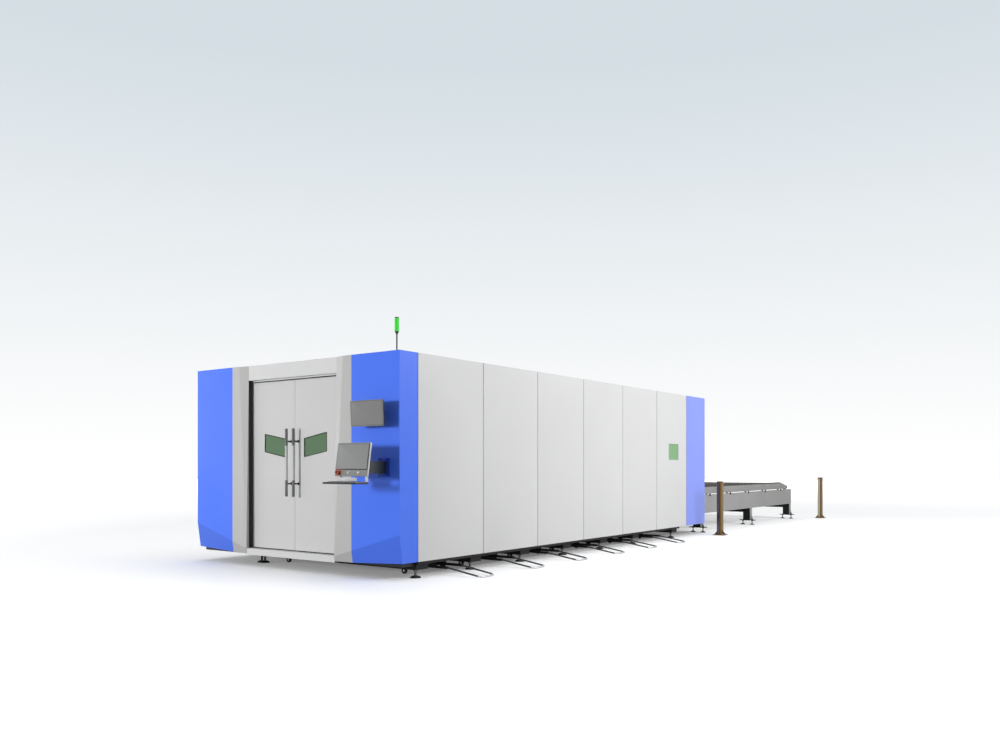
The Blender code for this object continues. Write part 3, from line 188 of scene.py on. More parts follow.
# %% The floor
floor_reach, glow_from, glow_full, near_glow = 60.0, 9.0, 34.0, 0.16
bounce_tone, seen_tone = (0.22, 0.22, 0.225, 1.0), (0.88, 0.885, 0.89, 1.0)
floor_corners = [(x * floor_reach, y * floor_reach, 0) for x, y in ((-1, -1), (1, -1), (1, 1), (-1, 1))]
floor_mesh = bpy.data.meshes.new("floor")
floor_mesh.from_pydata(floor_corners, [], [(0, 1, 2, 3)])
floor = bpy.data.objects.new("floor", floor_mesh)
bpy.context.scene.collection.objects.link(floor)
floor_paint = bpy.data.materials.new("pale_floor")
floor_paint.use_nodes = True
floor_mesh.materials.append(floor_paint)
floor_shader = shader_of(floor_paint)
floor_shader.inputs["Roughness"].default_value = 0.55
floor_shader.inputs["Specular IOR Level"].default_value = 0.15
floor_shader.inputs["Emission Color"].default_value = white
floor_tone = colour_mix(floor_paint, bounce_tone, seen_tone)
floor_place = add_node(floor_paint, "ShaderNodeTexCoord")
floor_distance = add_node(floor_paint, "ShaderNodeVectorMath", operation="LENGTH")
floor_lift = add_node(floor_paint, "ShaderNodeMapRange", From_Min=glow_from, From_Max=glow_full,
                      To_Min=near_glow, To_Max=1.0)
floor_glow = add_node(floor_paint, "ShaderNodeMath", operation="MULTIPLY")
wire(floor_paint, (floor_place, "Object", floor_distance, 0), (floor_distance, "Value", floor_lift, "Value"),
     (floor_lift, "Result", floor_glow, 0), (seen_rays(floor_paint), 0, floor_glow, 1),
     (seen_rays(floor_paint), 0, floor_tone, "Factor"),
     (floor_tone, mix_result, floor_shader, "Base Color"), (floor_glow, 0, floor_shader, "Emission Strength"))
bpy.context.scene.view_settings.view_transform = "Standard"
print("floor", 2 * floor_reach, "m wide")

# %% [markdown]
# Four large soft lamps do the rest. The key lamp stands far off at the front left, hardly higher than
# the machine, so the handles and screens throw short shadows to the right on the wall. It is kept out
# of mirror reflections, which would lay a white patch on the blue panel. A softer one further round to
# the left models the bevels of the door pillars. A long lamp runs beside the machine and lets the
# panels fade a little towards the floor, and one hangs overhead.

# %% Lamps
def add_lamp(name, place, target, size, power):
    """A rectangular area lamp: its beam, the lamp's -Z, points from its place to the target."""
    data = bpy.data.lights.new(name, "AREA")
    data.shape = "RECTANGLE"
    data.size, data.size_y = size
    data.energy = power
    lamp = bpy.data.objects.new(name, data)
    bpy.context.scene.collection.objects.link(lamp)
    lamp.location = place
    lamp.rotation_euler = (Vector(target) - Vector(place)).to_track_quat("-Z", "Y").to_euler()
    return lamp


key_lamp = add_lamp("key_lamp", (-4.3, -19.9, 2.7), (-0.2, -6.6, 1.4), (2.2, 2.0), 1185)
key_lamp.visible_glossy = False
add_lamp("left_lamp", (-13.6, -10.9, 2.6), (-0.3, -6.0, 1.2), (5.0, 4.0), 170)
add_lamp("side_lamp", (10.5, -0.6, 5.6), (1.5, -0.6, 1.2), (10.0, 3.0), 835)
add_lamp("top_lamp", (-1.0, 0.0, 22.0), (0.0, 0.0, 0.0), (15.0, 30.0), 2900)
print("lamps", [light.name for light in bpy.data.lights])


# %% [markdown]
# ## Finishes
# A finish is never one flat colour. Powder coat has an orange peel of about two millimetres and drifts
# a little in tone from panel to panel. One helper makes the shader with its fixed values on its own
# sockets, and small helpers add what varies: a drift between two tones, a fine relief, and fibres that
# run one way as on brushed metal.

# %% Finish helpers
noise_low, noise_high = 0.3, 0.7  # nearly all of a noise's values lie between these


def finish(name, colour, roughness, metallic=0.0, **sockets):
    """A Principled material from a screen colour, with its constant values on the shader's sockets."""
    material = bpy.data.materials.new(name)
    material.use_nodes = True
    sockets |= {"Base_Color": linear(*colour), "Roughness": roughness, "Metallic": metallic}
    for socket, value in sockets.items():
        shader_of(material).inputs[socket.replace("_", " ")].default_value = value
    return material


def noise_of(material, scale, detail, stretch=(1, 1, 1)):
    """Noise on Object coordinates, with the space squeezed along an axis to draw fibres out of it."""
    coordinates = add_node(material, "ShaderNodeTexCoord")
    mapping = add_node(material, "ShaderNodeMapping", Scale=stretch)
    noise = add_node(material, "ShaderNodeTexNoise", Scale=scale, Detail=detail)
    wire(material, (coordinates, "Object", mapping, "Vector"), (mapping, "Vector", noise, "Vector"))
    return noise


def drift(material, scale, amount, stretch=(1, 1, 1), detail=2.0):
    """Lets the base colour wander between two tones, the given share darker and lighter."""
    shader = shader_of(material)
    tone = np.array(shader.inputs["Base Color"].default_value[:3])
    noise = noise_of(material, scale, detail, stretch)
    ramp = colour_ramp(material, (noise_low, (*(tone * (1 - amount)), 1)),
                       (noise_high, (*np.minimum(tone * (1 + amount), 1), 1)))
    wire(material, (noise, "Fac", ramp, "Fac"), (ramp, "Color", shader, "Base Color"))


def relief(material, scale, height, stretch=(1, 1, 1), detail=2.0):
    """A fine bump from noise; the height is in metres."""
    noise = noise_of(material, scale, detail, stretch)
    bump = add_node(material, "ShaderNodeBump", Strength=1.0, Distance=height)
    wire(material, (noise, "Fac", bump, "Height"), (bump, "Normal", shader_of(material), "Normal"))


def sheen_spread(material, scale, low, high, stretch=(1, 1, 1)):
    """Lets the roughness wander between two values, as where hands and cloths have been."""
    noise = noise_of(material, scale, 4.0, stretch)
    spread = add_node(material, "ShaderNodeMapRange", From_Min=noise_low, From_Max=noise_high,
                      To_Min=low, To_Max=high)
    wire(material, (noise, "Fac", spread, "Value"), (spread, "Result", shader_of(material), "Roughness"))


def paint_shade_on_leaning_faces(material, depth, full_lean=0.139):
    """Paints shade into the base colour: faces that lean towards the floor are darkened, in full where the
    normal drops by the facets' slope.
    """
    shader = shader_of(material)
    before = shader.inputs["Base Color"].links[0].from_node
    place = add_node(material, "ShaderNodeTexCoord")
    parts = add_node(material, "ShaderNodeSeparateXYZ")
    lean = add_node(material, "ShaderNodeMath", operation="MULTIPLY", use_clamp=True)
    lean.inputs[1].default_value = -1 / full_lean
    painted_shade_mix = colour_mix(material, white, (1 - depth, 1 - depth, 1 - depth, 1.0), blend_type="MULTIPLY")
    wire(material, (place, "Normal", parts, "Vector"), (parts, "Z", lean, 0), (lean, 0, painted_shade_mix, "Factor"),
         (before, "Color", painted_shade_mix, mix_first), (painted_shade_mix, mix_result, shader, "Base Color"))


def coated(name, colour, roughness, metallic=0.0, tone=None, grain=None, sheen=None, **sockets):
    """A finish and what varies in it: the values that drift, relief and sheen_spread take, in this order."""
    material = finish(name, colour, roughness, metallic, **sockets)
    for vary, values in ((drift, tone), (relief, grain), (sheen_spread, sheen)):
        if values:
            vary(material, *values)
    return material


print("finish helpers ready")

# %% [markdown]
# The enclosure wears its powder coats in a few tones: a vivid blue on the corners, a paler copy of it on the
# rear corner that is painted light standing for haze, a light grey on the long panels, two slightly darker
# greys on the doors and their pillars, and a deep blue on the bracket that is the wall's blue darkened as
# painted shade. They share one recipe, so the loop below changes only the colour, and the roof mirrors less.
# The blue and the pillar grey also get painted shade on every face that leans towards the floor. The relief
# is a few hundredths of a millimetre high: more would look cast.

# %% Powder coats
powder_colours = {
    "blue_powder": (78, 124, 254),
    # Painted light: the rear blue is a paler copy of the corner blue, standing for the haze over the far
    # corner.
    "rear_blue_powder": (140, 158, 252),
    "light_grey_powder": (220, 220, 220),
    "roof_grey_powder": (220, 220, 220),
    "door_grey_powder": (210, 210, 209),
    "pillar_grey_powder": (194, 193, 192),
    # Painted shade: the bracket's blue is the wall's blue darkened where the console's shadow lies over it.
    "bracket_blue_powder": (46, 76, 178),
}
powder_rough, powder_tone, powder_peel, powder_sheen = 0.42, (0.7, 0.018), (420, 0.00006), (1.6, 0.36, 0.48)
wall_gloss, roof_gloss = 0.35, 0.06
powder = {}
for name, colour in powder_colours.items():
    powder[name] = coated(name, colour, powder_rough, 0, powder_tone, powder_peel, powder_sheen,
                          Specular_IOR_Level=roof_gloss if "roof" in name else wall_gloss)
# Painted shade: the blue and the pillar grey are darker on every face that leans towards the floor, the lower
# facets and undersides.
for name in ("blue_powder", "pillar_grey_powder"):
    paint_shade_on_leaning_faces(powder[name], 0.15)
light_grey = powder["light_grey_powder"]
print("powder coats", list(powder))

# %% [markdown]
# Black paint on the welded bed is duller and dustier. The exchange table is a mid grey, and the pallets
# and slats are bare mild steel that the beam has tinted brown and blue. The tint comes in patches, so a
# coarse noise runs through a ramp of its four colours.

# %% Paints and steels
brushed_grain = (60, 0.00003, (60, 60, 0.8), 4.0)


def brushed(name, colour, roughness, metallic, amount, low, high, **sockets):
    """A metal with upright fibres: tone, relief and sheen are all drawn out along Z."""
    return coated(name, colour, roughness, metallic, (30, amount, (40, 40, 0.6)), brushed_grain,
                  (25, low, high, (30, 30, 1)), **sockets)


black_paint = coated("bed_black_paint", (17, 17, 18), 0.6, 0, (3.0, 0.25), (260, 0.00012),
                     Specular_IOR_Level=0.25)
table_paint = coated("table_grey_paint", (152, 152, 151), 0.45, 0, (1.1, 0.05), (320, 0.00008),
                     (2.0, 0.38, 0.55))
bright_steel = brushed("brushed_steel", (196, 196, 196), 0.42, 0.6, 0.06, 0.36, 0.48, Anisotropic=0.5)
# The grip's pale colour is partly painted highlight.
grip_steel_painted_highlight = brushed("grip_painted_highlight", (196, 196, 197), 0.4, 0.35, 0.06, 0.36, 0.46)
dark_steel = brushed("worn_handle_ends", (112, 112, 113), 0.38, 0.5, 0.08, 0.3, 0.44)
black_steel = coated("blacked_steel", (34, 34, 36), 0.36, 0, (14, 0.18), (520, 0.00004), (10, 0.28, 0.42))
zinc = coated("zinc_plated_steel", (196, 198, 200), 0.34, 0.9, (90, 0.08), (500, 0.00003))
pallet_steel = coated("pallet_steel", (152, 150, 147), 0.5, 0.35, (5.0, 0.1), (240, 0.0001), (9.0, 0.4, 0.62))
pallet_paint = coated("pallet_grey_paint", (150, 149, 147), 0.5, 0, (2.2, 0.06), (300, 0.0001),
                      (5.0, 0.42, 0.6))
dark_edge = coated("dark_edge_strip", (44, 42, 42), 0.65, 0, (16, 0.2), (300, 0.0002, (1, 1, 1), 4.0))
rubber = coated("black_rubber", (20, 20, 21), 0.7, 0, (40, 0.2), (700, 0.00005))
print("paints and steels ready")

# %% Heat-tinted slats
tints = ((0.3, (124, 120, 117)), (0.48, (146, 136, 126)), (0.58, (132, 134, 142)), (0.72, (164, 161, 158)))
slat_steel = coated("heat_tinted_slats", (124, 119, 114), 0.5, 0.6, None, (180, 0.0002, (1, 1, 1), 5.0),
                    (12, 0.35, 0.7))
tint_ramp = colour_ramp(slat_steel, *((position, linear(*colour)) for position, colour in tints))
wire(slat_steel, (noise_of(slat_steel, 7.0, 5.0), "Fac", tint_ramp, "Fac"),
     (tint_ramp, "Color", shader_of(slat_steel), "Base Color"))
print("slat tint stops", len(tints))

# %% [markdown]
# The windows are filter panes: a green acrylic that stops the beam's light. A pane that thick looks
# almost opaque from outside, so it is a glossy body colour with a little transmission. The console is a
# fine-grained moulded housing, the posts are anodised aluminium, and the lamp lens glows by itself.

# %% Panes, plastics and anodising
acrylic = {"Transmission_Weight": 0.12, "IOR": 1.49, "Coat_Weight": 0.4}
filter_pane = coated("filter_pane", (76, 118, 74), 0.12, 0, (2.5, 0.05), **acrylic)
side_pane = coated("side_filter_pane", (112, 176, 106), 0.12, 0, (2.5, 0.04), **acrylic)
housing_plastic = coated("console_plastic", (140, 140, 139), 0.42, 0, (6, 0.03), (1500, 0.00004))
pale_frame = coated("console_frame_aluminium", (206, 207, 208), 0.36, 0.25, (20, 0.03, (1, 1, 12)),
                    (800, 0.00003))
monitor_plastic = coated("monitor_face", (128, 128, 127), 0.5, 0, (5, 0.03), (1500, 0.00004))
screen_glass = coated("screen_glass", (138, 139, 138), 0.16, 0, (1.6, 0.03), None, (14, 0.12, 0.24),
                      Coat_Weight=0.6)
tray_black = coated("tray_black", (24, 32, 35), 0.4, 0, (8, 0.12), (900, 0.00005))
red_plastic = coated("stop_red", (196, 74, 52), 0.25, 0, (30, 0.06), Coat_Weight=0.5)
white_plastic = coated("button_white", (240, 240, 240), 0.25, 0, (30, 0.02), Coat_Weight=0.4)
copper = coated("copper", (214, 140, 104), 0.25, 1.0, (60, 0.12), (400, 0.00003))
lamp_lens = coated("lamp_lens", (10, 192, 14), 0.25, 0, (20, 0.06), Emission_Color=linear(10, 224, 20),
                   Emission_Strength=0.26, Coat_Weight=0.5)
bronze = coated("bronze_anodised", (134, 106, 62), 0.34, 0.75, (24, 0.08, (30, 30, 0.5)),
                (50, 0.00003, (60, 60, 0.8), 4.0), (8, 0.28, 0.42), Anisotropic=0.4)
lens_cream = coated("pale_curtain_lens", (204, 190, 166), 0.3, 0, (6, 0.04), Coat_Weight=0.3)
lens_dark = coated("dark_curtain_lens", (59, 46, 61), 0.12, 0, (6, 0.08), Coat_Weight=0.8)
chain_plastic = coated("chain_plastic", (30, 30, 32), 0.5, 0, (20, 0.15), (800, 0.00005))
print("materials", len(bpy.data.materials))

# %% [markdown]
# ## How the new surfaces are made
# A made surface here is always a grid of points worked out at once: an outline carried through layers, a
# profile turned round an axis, or a circle carried along a path. The helpers return points and faces, and
# the last one puts them into a mesh. The outline runs anticlockwise as seen from the side that the layers
# grow towards, so that every face points outwards by itself.

# %% Surface helpers
def grid_faces(rows, columns, wrap_rows=False):
    """Quads of a grid that wraps across: corner (i, j) joins (i, j+1), (i+1, j+1) and (i+1, j)."""
    i, j = np.meshgrid(np.arange(rows if wrap_rows else rows - 1), np.arange(columns), indexing="ij")
    below, beside = (i + 1) % rows, (j + 1) % columns
    quads = [i * columns + j, i * columns + beside, below * columns + beside, below * columns + j]
    return np.stack(quads, axis=-1).reshape(-1, 4)


def lofted(layers, closed=False):
    """A stack of outlines as points and faces: flat caps close both ends, unless it closes on itself."""
    rows, columns = layers.shape[:2]
    faces = grid_faces(rows, columns, closed).tolist()
    if not closed:
        ring = np.arange(columns)
        faces += [ring[::-1].tolist(), (ring + (rows - 1) * columns).tolist()]
    return layers.reshape(-1, 3), faces


def upright(section, foot, top, origin):
    """An outline in x and y, carried straight up from its foot to its top."""
    flat = origin + np.pad(section, ((0, 0), (0, 1)))
    return lofted(flat[None] + np.array([foot, top])[:, None, None] * Z)


def joined(*shapes):
    """Several shapes as one: each one's faces count on from the points before it."""
    starts = np.cumsum([0] + [len(points) for points, _ in shapes])
    faces = [[int(start) + c for c in face] for start, (_, more) in zip(starts, shapes) for face in more]
    return np.concatenate([points for points, _ in shapes]), faces


def repeated(shape, shifts):
    """Copies of a shape: every point plus every shift, as one array."""
    points, faces = shape
    shifts = np.array(shifts, float)
    moved = (points[None] + shifts[:, None]).reshape(-1, 3)
    return moved, [[c + k * len(points) for c in face] for k in range(len(shifts)) for face in faces]


print("a 3 by 4 grid has", len(grid_faces(3, 4)), "quads")

# %% Outlines and plates
def rounded_outline(corners, radius, steps=5):
    """Round corners on a convex outline: an arc's centre lies a radius inside both edges, and its
    directions turn from the normal of the edge before to that of the edge after."""
    corners = np.array(corners, float)
    ahead = np.roll(corners, -1, axis=0) - corners
    ahead /= np.linalg.norm(ahead, axis=1, keepdims=True)
    normal = np.stack([ahead[:, 1], -ahead[:, 0]], axis=1)
    before = np.roll(normal, 1, axis=0)
    between = before + normal
    between /= np.sum(between * normal, axis=1, keepdims=True)
    start = np.arctan2(before[:, 1], before[:, 0])
    turn = np.mod(np.arctan2(normal[:, 1], normal[:, 0]) - start, 2 * np.pi)
    angle = start[:, None] + turn[:, None] * np.linspace(0, 1, steps)
    directions = np.stack([np.cos(angle), np.sin(angle)], axis=-1).reshape(-1, 2)
    return np.repeat(corners - radius * between, steps, axis=0), directions


def plate(corners, radius, layers, origin, across, up, steps=5, closed=False):
    """An outline (u) through layers (v) of inset and depth: origin + across x + up y + out depth, with
    (x, y) the arc's centre plus (radius - inset) times its direction, and out = across x up."""
    centres, directions = rounded_outline(corners, radius, steps)
    layers = np.array(layers, float)
    flat = centres[None] + (radius - layers[:, 0, None, None]) * directions[None]
    out = np.cross(across, up)
    points = origin + flat[..., :1] * across + flat[..., 1:] * up + layers[:, 1, None, None] * out
    return lofted(points, closed)


def box_corners(width, height, left=0.0, foot=0.0):
    """The four corners of an upright rectangle, anticlockwise."""
    return [(left, foot), (left + width, foot), (left + width, foot + height), (left, foot + height)]


def soft_edges(thickness, edge, steps=4):
    """Layers of a plate with quarter-round edges: inset and depth follow a circle at back and front."""
    t = np.linspace(0, np.pi / 2, steps)
    back = np.stack([edge * (1 - np.sin(t)), edge * (1 - np.cos(t))], axis=1)
    front = np.stack([edge * (1 - np.cos(t)), thickness - edge * (1 - np.sin(t))], axis=1)
    return np.concatenate([back, front])


def slab(box, radius, edges, origin, across, up, steps=5):
    """A plate on a rectangle: what box_corners takes, the corners' radius, and what soft_edges takes."""
    return plate(box_corners(*box), radius, soft_edges(*edges), origin, across, up, steps)


def flipped(corners, middle=0.0):
    """An outline mirrored left to right about a middle, and reversed, so it still runs anticlockwise."""
    return [(2 * middle - a, b) for a, b in corners][::-1]


def gasket(corners, origin, across, up, width, height, radius, steps=7):
    """A bead round an outline: inset = width (1 - cos v) / 2 - width / 2 and depth = height sin v over a
    half circle, closed by its flat back."""
    v = np.linspace(0, np.pi, steps)
    layers = np.stack([-width / 2 * np.cos(v), height * np.sin(v)], axis=1)
    return plate(corners, radius, layers, origin, across, up, closed=True)


print("a soft edge has", len(soft_edges(0.01, 0.001)), "layers")

# %% Turned shapes and tubes
def turned(profile, origin, axis, sides=24):
    """A turned shape: origin + height axis + radius (cos u a + sin u b), profile from foot to top."""
    profile = np.array(profile, float)
    axis = np.array(axis, float) / np.linalg.norm(axis)
    a = np.cross(axis, X if abs(axis[0]) < 0.9 else Y)
    a /= np.linalg.norm(a)
    b = np.cross(axis, a)
    u = np.linspace(0, 2 * np.pi, sides, endpoint=False)[None, :, None]
    ring = np.cos(u) * a + np.sin(u) * b
    return lofted(origin + profile[:, 1, None, None] * axis + profile[:, 0, None, None] * ring)


def tube(path, radius, normal, sides=14):
    """A round bar along a path in one plane: path(v) + radius (cos u side(v) + sin u normal), where
    side is tangent x normal and the radius may change along the path."""
    path = np.array(path, float)
    tangent = np.gradient(path, axis=0)
    side = np.cross(normal, tangent)
    side /= np.linalg.norm(side, axis=1, keepdims=True)
    radius = np.broadcast_to(radius, (len(path),))[:, None, None]
    u = np.linspace(0, 2 * np.pi, sides, endpoint=False)[None, :, None]
    return lofted(path[:, None] + radius * (np.cos(u) * side[:, None] + np.sin(u) * np.array(normal, float)))


def domed(radius, start, end, dome, steps=4):
    """The profile of a bar with domed ends: the radius follows the cosine of a quarter turn at each end."""
    t = np.linspace(0, np.pi / 2, steps)
    low = np.stack([radius * np.maximum(np.sin(t), 0.25), start + dome * (1 - np.cos(t))], axis=1)
    high = np.stack([radius * np.maximum(np.cos(t), 0.25), end - dome * (1 - np.sin(t))], axis=1)
    return np.concatenate([low, high])


print("a domed bar has", len(domed(0.01, 0, 1, 0.005)), "rings")

# %% From points to a piece
sharpest_smooth = math.radians(35)


def piece(name, shape, material, body="machine", replaces=()):
    """Puts a shape into a mesh, smooth up to an angle but flat on its caps, and lets it ride on a body."""
    points, faces = shape
    mesh = bpy.data.meshes.new(name)
    mesh.from_pydata(points.tolist(), [], faces)
    mesh.materials.append(material)
    mesh.shade_smooth()
    mesh.polygons.foreach_set("use_smooth", np.array([len(face) <= 4 for face in faces]))
    mesh.set_sharp_from_angle(angle=sharpest_smooth)
    item = bpy.data.objects.new(name, mesh)
    bpy.context.scene.collection.objects.link(item)
    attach(item, body)
    if replaces:
        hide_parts(*replaces)
    print(f"{name}: {len(points)} points, {sum(len(face) - 2 for face in faces)} triangles")


# %% [markdown]
# ## Long side panels
# Each long panel is one sheet with its upright edges bent back, and between two of them stays a dark
# shadow gap. The section below is that folded sheet seen from above, with bends of three millimetres
# that catch a thin line of light. It is carried from the foot of the panel to its top. The last panel
# has the window cut in it, so it stays as the CAD made it.

# %% Folded panels
fit = 0.0003
seam, seam_depth, panel_depth, panel_flange, panel_face = 0.012, 0.014, 0.05, 0.009, 0.017
panel_floor, wall_top = float(side_low[2]), float(side_high[2])
panel_length = float(side_high[1] - side_low[1]) + fit


def panel_section(start, end, bend=0.003, steps=5):
    """The sheet from above: out along one flange, round a quarter bend, along the face, and back inside."""
    t = np.linspace(0, np.pi / 2, steps)
    low, high = start + seam / 2, end - seam / 2
    first = np.stack([-bend + bend * np.sin(t), low + bend - bend * np.cos(t)], axis=1)
    second = np.stack([-bend + bend * np.cos(t), high - bend + bend * np.sin(t)], axis=1)
    head = [(-panel_depth, start), (-seam_depth, start), (-seam_depth, low)]
    tail = [(-seam_depth, high), (-seam_depth, end), (-panel_depth, end)]
    inside = [(-panel_depth, end - panel_flange), (-panel_face, end - panel_flange),
              (-panel_face, start + panel_flange), (-panel_depth, start + panel_flange)]
    return np.concatenate([head, first, second, tail, inside])


for index in range(5):
    start = index * panel_length + fit / 2
    section = panel_section(start, start + panel_length - fit)
    piece(f"folded_panel_{index + 1}", upright(section, panel_floor, wall_top, corner),
          light_grey, "machine", [f"side_panel_right_{index + 1}"])

# %% [markdown]
# ## Seals round the panes
# A filter pane sits in a rubber gasket. Its section is a small round-backed bead, and the ring closes on
# itself both ways, so it is a ring with corners. The door panes are parallelograms, and the left one is
# the right one mirrored: its corners are reversed, so that they still run anticlockwise.

# %% Pane gaskets
leaf_low = plan_box("door_leaf_right")[0]
door_middle, door_face = leaf_low[0] - 0.002, leaf_low[1]
pane_low, pane_high = plan_box("door_window_right")
pane_rise = 0.213
for side, sign in (("right", 1), ("left", -1)):
    inner, outer = sign * (pane_low[0] - door_middle), sign * (pane_high[0] - door_middle)
    foot, top = pane_low[2], pane_high[2]
    ring = [(inner, foot), (outer, top - pane_rise), (outer, top), (inner, foot + pane_rise)][::sign]
    piece(f"pane_gasket_{side}", gasket(ring, at(door_middle, door_face, 0), X, Z, 0.009, 0.004, 0.006),
          rubber, f"door_{side}")
glass_low, glass_high = plan_box("side_window")
ring = box_corners(glass_high[1] - glass_low[1], glass_high[2] - glass_low[2], glass_low[1], glass_low[2])
piece("pane_gasket_side", gasket(ring, corner, Y, Z, 0.007, 0.003, 0.006), pale_frame, "machine")

# %% [markdown]
# ## Doorway liners and brushes
# The doorway has a black liner on both jambs, and a brush strip over and under the leaves keeps sparks
# in. They are thin plates with softened edges, set on the pillars, the door track and the sill.

# %% Doorway liners
jamb_left, jamb_right = plan_box("door_pillar_left")[1][0], plan_box("door_pillar_right")[0][0]
wall_back = plan_box("door_pillar_left")[1][1]
sill_top = plan_box("door_sill")[1][2]
track_foot = plan_box("door_header")[0][2]
board_foot = track_foot + 0.02
liner = box_corners(0.0545, board_foot - sill_top - 0.002, wall_back - 0.055, sill_top + 0.001)
for side, outline, place, across in (("left", liner, jamb_left, Y), ("right", flipped(liner), jamb_right, -Y)):
    piece(f"jamb_liner_{side}", plate(outline, 0.002, soft_edges(0.003, 0.001), at(place, 0, 0), across, Z),
          rubber)
for name, foot, height in (("door_top_brush", track_foot - 0.008, 0.012), ("door_foot_brush", sill_top, 0.01)):
    strip = (jamb_right - jamb_left - 0.008, height, jamb_left + 0.004, foot)
    piece(name, slab(strip, 0.001, (0.0085, 0.001), at(0, wall_back + 0.006, 0), X, Z), rubber)

# %% [markdown]
# ## Pull handles
# Each leaf has a long round bar on two standoffs. The bar is a turned profile with domed ends. Its
# middle is a satin sleeve, a fraction of a millimetre proud of the polished ends, and each standoff
# ends in a small flange on the leaf. The sleeve's pale tone is partly its satin finish and partly a
# painted highlight.

# %% Pull handles
bar_offset, bar_stand, bar_radius, stand_radius = 0.06, 0.076, 0.0155, 0.009
bar_foot, bar_top, overlap = 0.84, 1.63, 0.0003
stand_heights = (0.99, 1.48)
grip = [(0.0157, 1.03), (0.016, 1.0315), (0.016, 1.4285), (0.0157, 1.43)]
flange = [(0.017, 0.0), (0.017, 0.003), (0.0145, 0.005), (stand_radius, 0.006), (stand_radius, bar_stand)]
for side, sign in (("right", 1), ("left", -1)):
    foot_place = at(door_middle + sign * bar_offset, door_face - bar_stand, 0)
    bar = turned(domed(bar_radius, bar_foot, bar_top, 0.006), foot_place, Z, 28)
    piece(f"handle_bar_{side}", bar, dark_steel, f"door_{side}", [f"door_handle_{side}"])
    piece(f"handle_grip_{side}", turned(grip, foot_place, Z, 28), grip_steel_painted_highlight, f"door_{side}")
    flange_foot = foot_place + bar_stand * Y - overlap * Y
    stands = joined(*(turned(flange, flange_foot + height * Z, -Y, 20) for height in stand_heights))
    piece(f"handle_stands_{side}", stands, black_steel, f"door_{side}")

# %% [markdown]
# ## Operator console
# The console is a leaning box on a swivel arm: a light back frame, a grey front, a dark shell behind
# that is smaller, a flush glass and a strip with the emergency stop and two buttons. Everything is laid
# out in the console's own plane, with its up direction leaning back from the operator.

# %% Console frame and shell
def leaning_plane(origin, lean):
    """A plane through X that leans back by an angle: up = sin Y + cos Z, out = X x up, and a function
    that lays a plate in it, with the plate's back at a depth in front of the origin."""
    up = math.sin(lean) * Y + math.cos(lean) * Z
    out = np.cross(X, up)
    return up, out, lambda corners, radius, layers, depth: plate(
        corners, radius, layers, origin + depth * out, X, up)


console_origin = at(-0.596, -0.635, 1.09)
console_up, console_out, console_plate = leaning_plane(console_origin, math.radians(8.5))
console_width, console_height = 0.471, 0.35
face_corners = box_corners(console_width, console_height)
piece("console_front", console_plate(face_corners, 0.007, soft_edges(0.007, 0.003), -0.007),
      housing_plastic, "console", ["console_housing"])
piece("console_frame", console_plate(face_corners, 0.007, soft_edges(0.0155, 0.001), -0.0225),
      pale_frame, "console")
shell_corners = box_corners(console_width - 0.056, console_height - 0.056, 0.028, 0.028)
piece("console_shell", console_plate(shell_corners, 0.014, soft_edges(0.034, 0.005), -0.055),
      tray_black, "console")

# %% Screen, seams and vents
glass_corners = box_corners(0.4424, 0.2604, 0.0143, 0.0753)
piece("console_glass", console_plate(glass_corners, 0.005, soft_edges(0.0045, 0.0012), -0.004),
      screen_glass, "console", ["console_screen"])
bead = gasket(glass_corners, console_origin, X, console_up, 0.003, 0.0009, 0.005)
ledge = console_plate(box_corners(0.449, 0.0065, 0.011, 0.0665), 0.0015, soft_edges(0.0016, 0.0005), -0.0006)
edge_strip = console_plate(box_corners(0.006, 0.268, 0.46, 0.0665), 0.0015, soft_edges(0.0016, 0.0005),
                           -0.0006)
piece("console_seams", joined(bead, ledge, edge_strip), rubber, "console")
slot_plate = slab((0.06, 0.003, 0.05, 0.18), 0.0014, (0.0012, 0.0004),
                  console_origin - 0.0553 * console_out + console_width * X, -X, console_up)
rows = [0.009 * row * console_up for row in range(10)]
shifts = [row - 0.09 * column * X for row in rows for column in range(2)]
piece("console_vents", repeated(slot_plate, shifts), rubber, "console")

# %% Stop, buttons and their collars
control_row = 0.0375


def on_console(profile, x, sides=28):
    """A turned shape that stands on the console's face in the row of controls."""
    return turned(profile, console_origin + x * X + control_row * console_up, console_out, sides)


stop_x, start_x, reset_x = 0.0612, 0.2025, 0.3485
mushroom = [(0.0125, -0.0019), (0.0125, 0.0145), (0.0215, 0.0165), (0.0262, 0.0195), (0.0283, 0.024),
            (0.0283, 0.0275), (0.0262, 0.0325), (0.0215, 0.0365), (0.015, 0.0388), (0.0105, 0.0393)]
piece("stop_head", on_console(mushroom, stop_x), red_plastic, "stop", ["emergency_stop"])
stop_cap = [(0.015, 0.0378), (0.0148, 0.0394), (0.013, 0.0399), (0.005, 0.0399)]
piece("stop_cap", on_console(stop_cap, stop_x), rubber, "stop")
collar = [(0.033, 0.0), (0.033, 0.004), (0.0305, 0.0075), (0.024, 0.009), (0.016, 0.009)]
piece("stop_collar", on_console(collar, stop_x), copper, "console")
key_top = [(0.0103, -0.0019), (0.0103, 0.0085), (0.0094, 0.0105), (0.007, 0.0117), (0.003, 0.0119)]
ring = [(0.015, 0.0), (0.015, 0.002), (0.0138, 0.0038), (0.0118, 0.0042), (0.0108, 0.0036)]
for name, x in (("start", start_x), ("reset", reset_x)):
    piece(f"{name}_key", on_console(key_top, x), white_plastic, name, [f"{name}_button"])
    piece(f"{name}_ring", on_console(ring, x), bright_steel, "console")

# %% [markdown]
# ## Keyboard tray
# The tray hangs under the console on two pale ears with a hinge cover, and can fold. It is a thin plate
# with a rolled rim: the layers climb over the rim and stop a little lower, so that the last flat cap is
# the tray's floor. The keyboard on it is one flat body and five rows of keys, each a small tapered block.

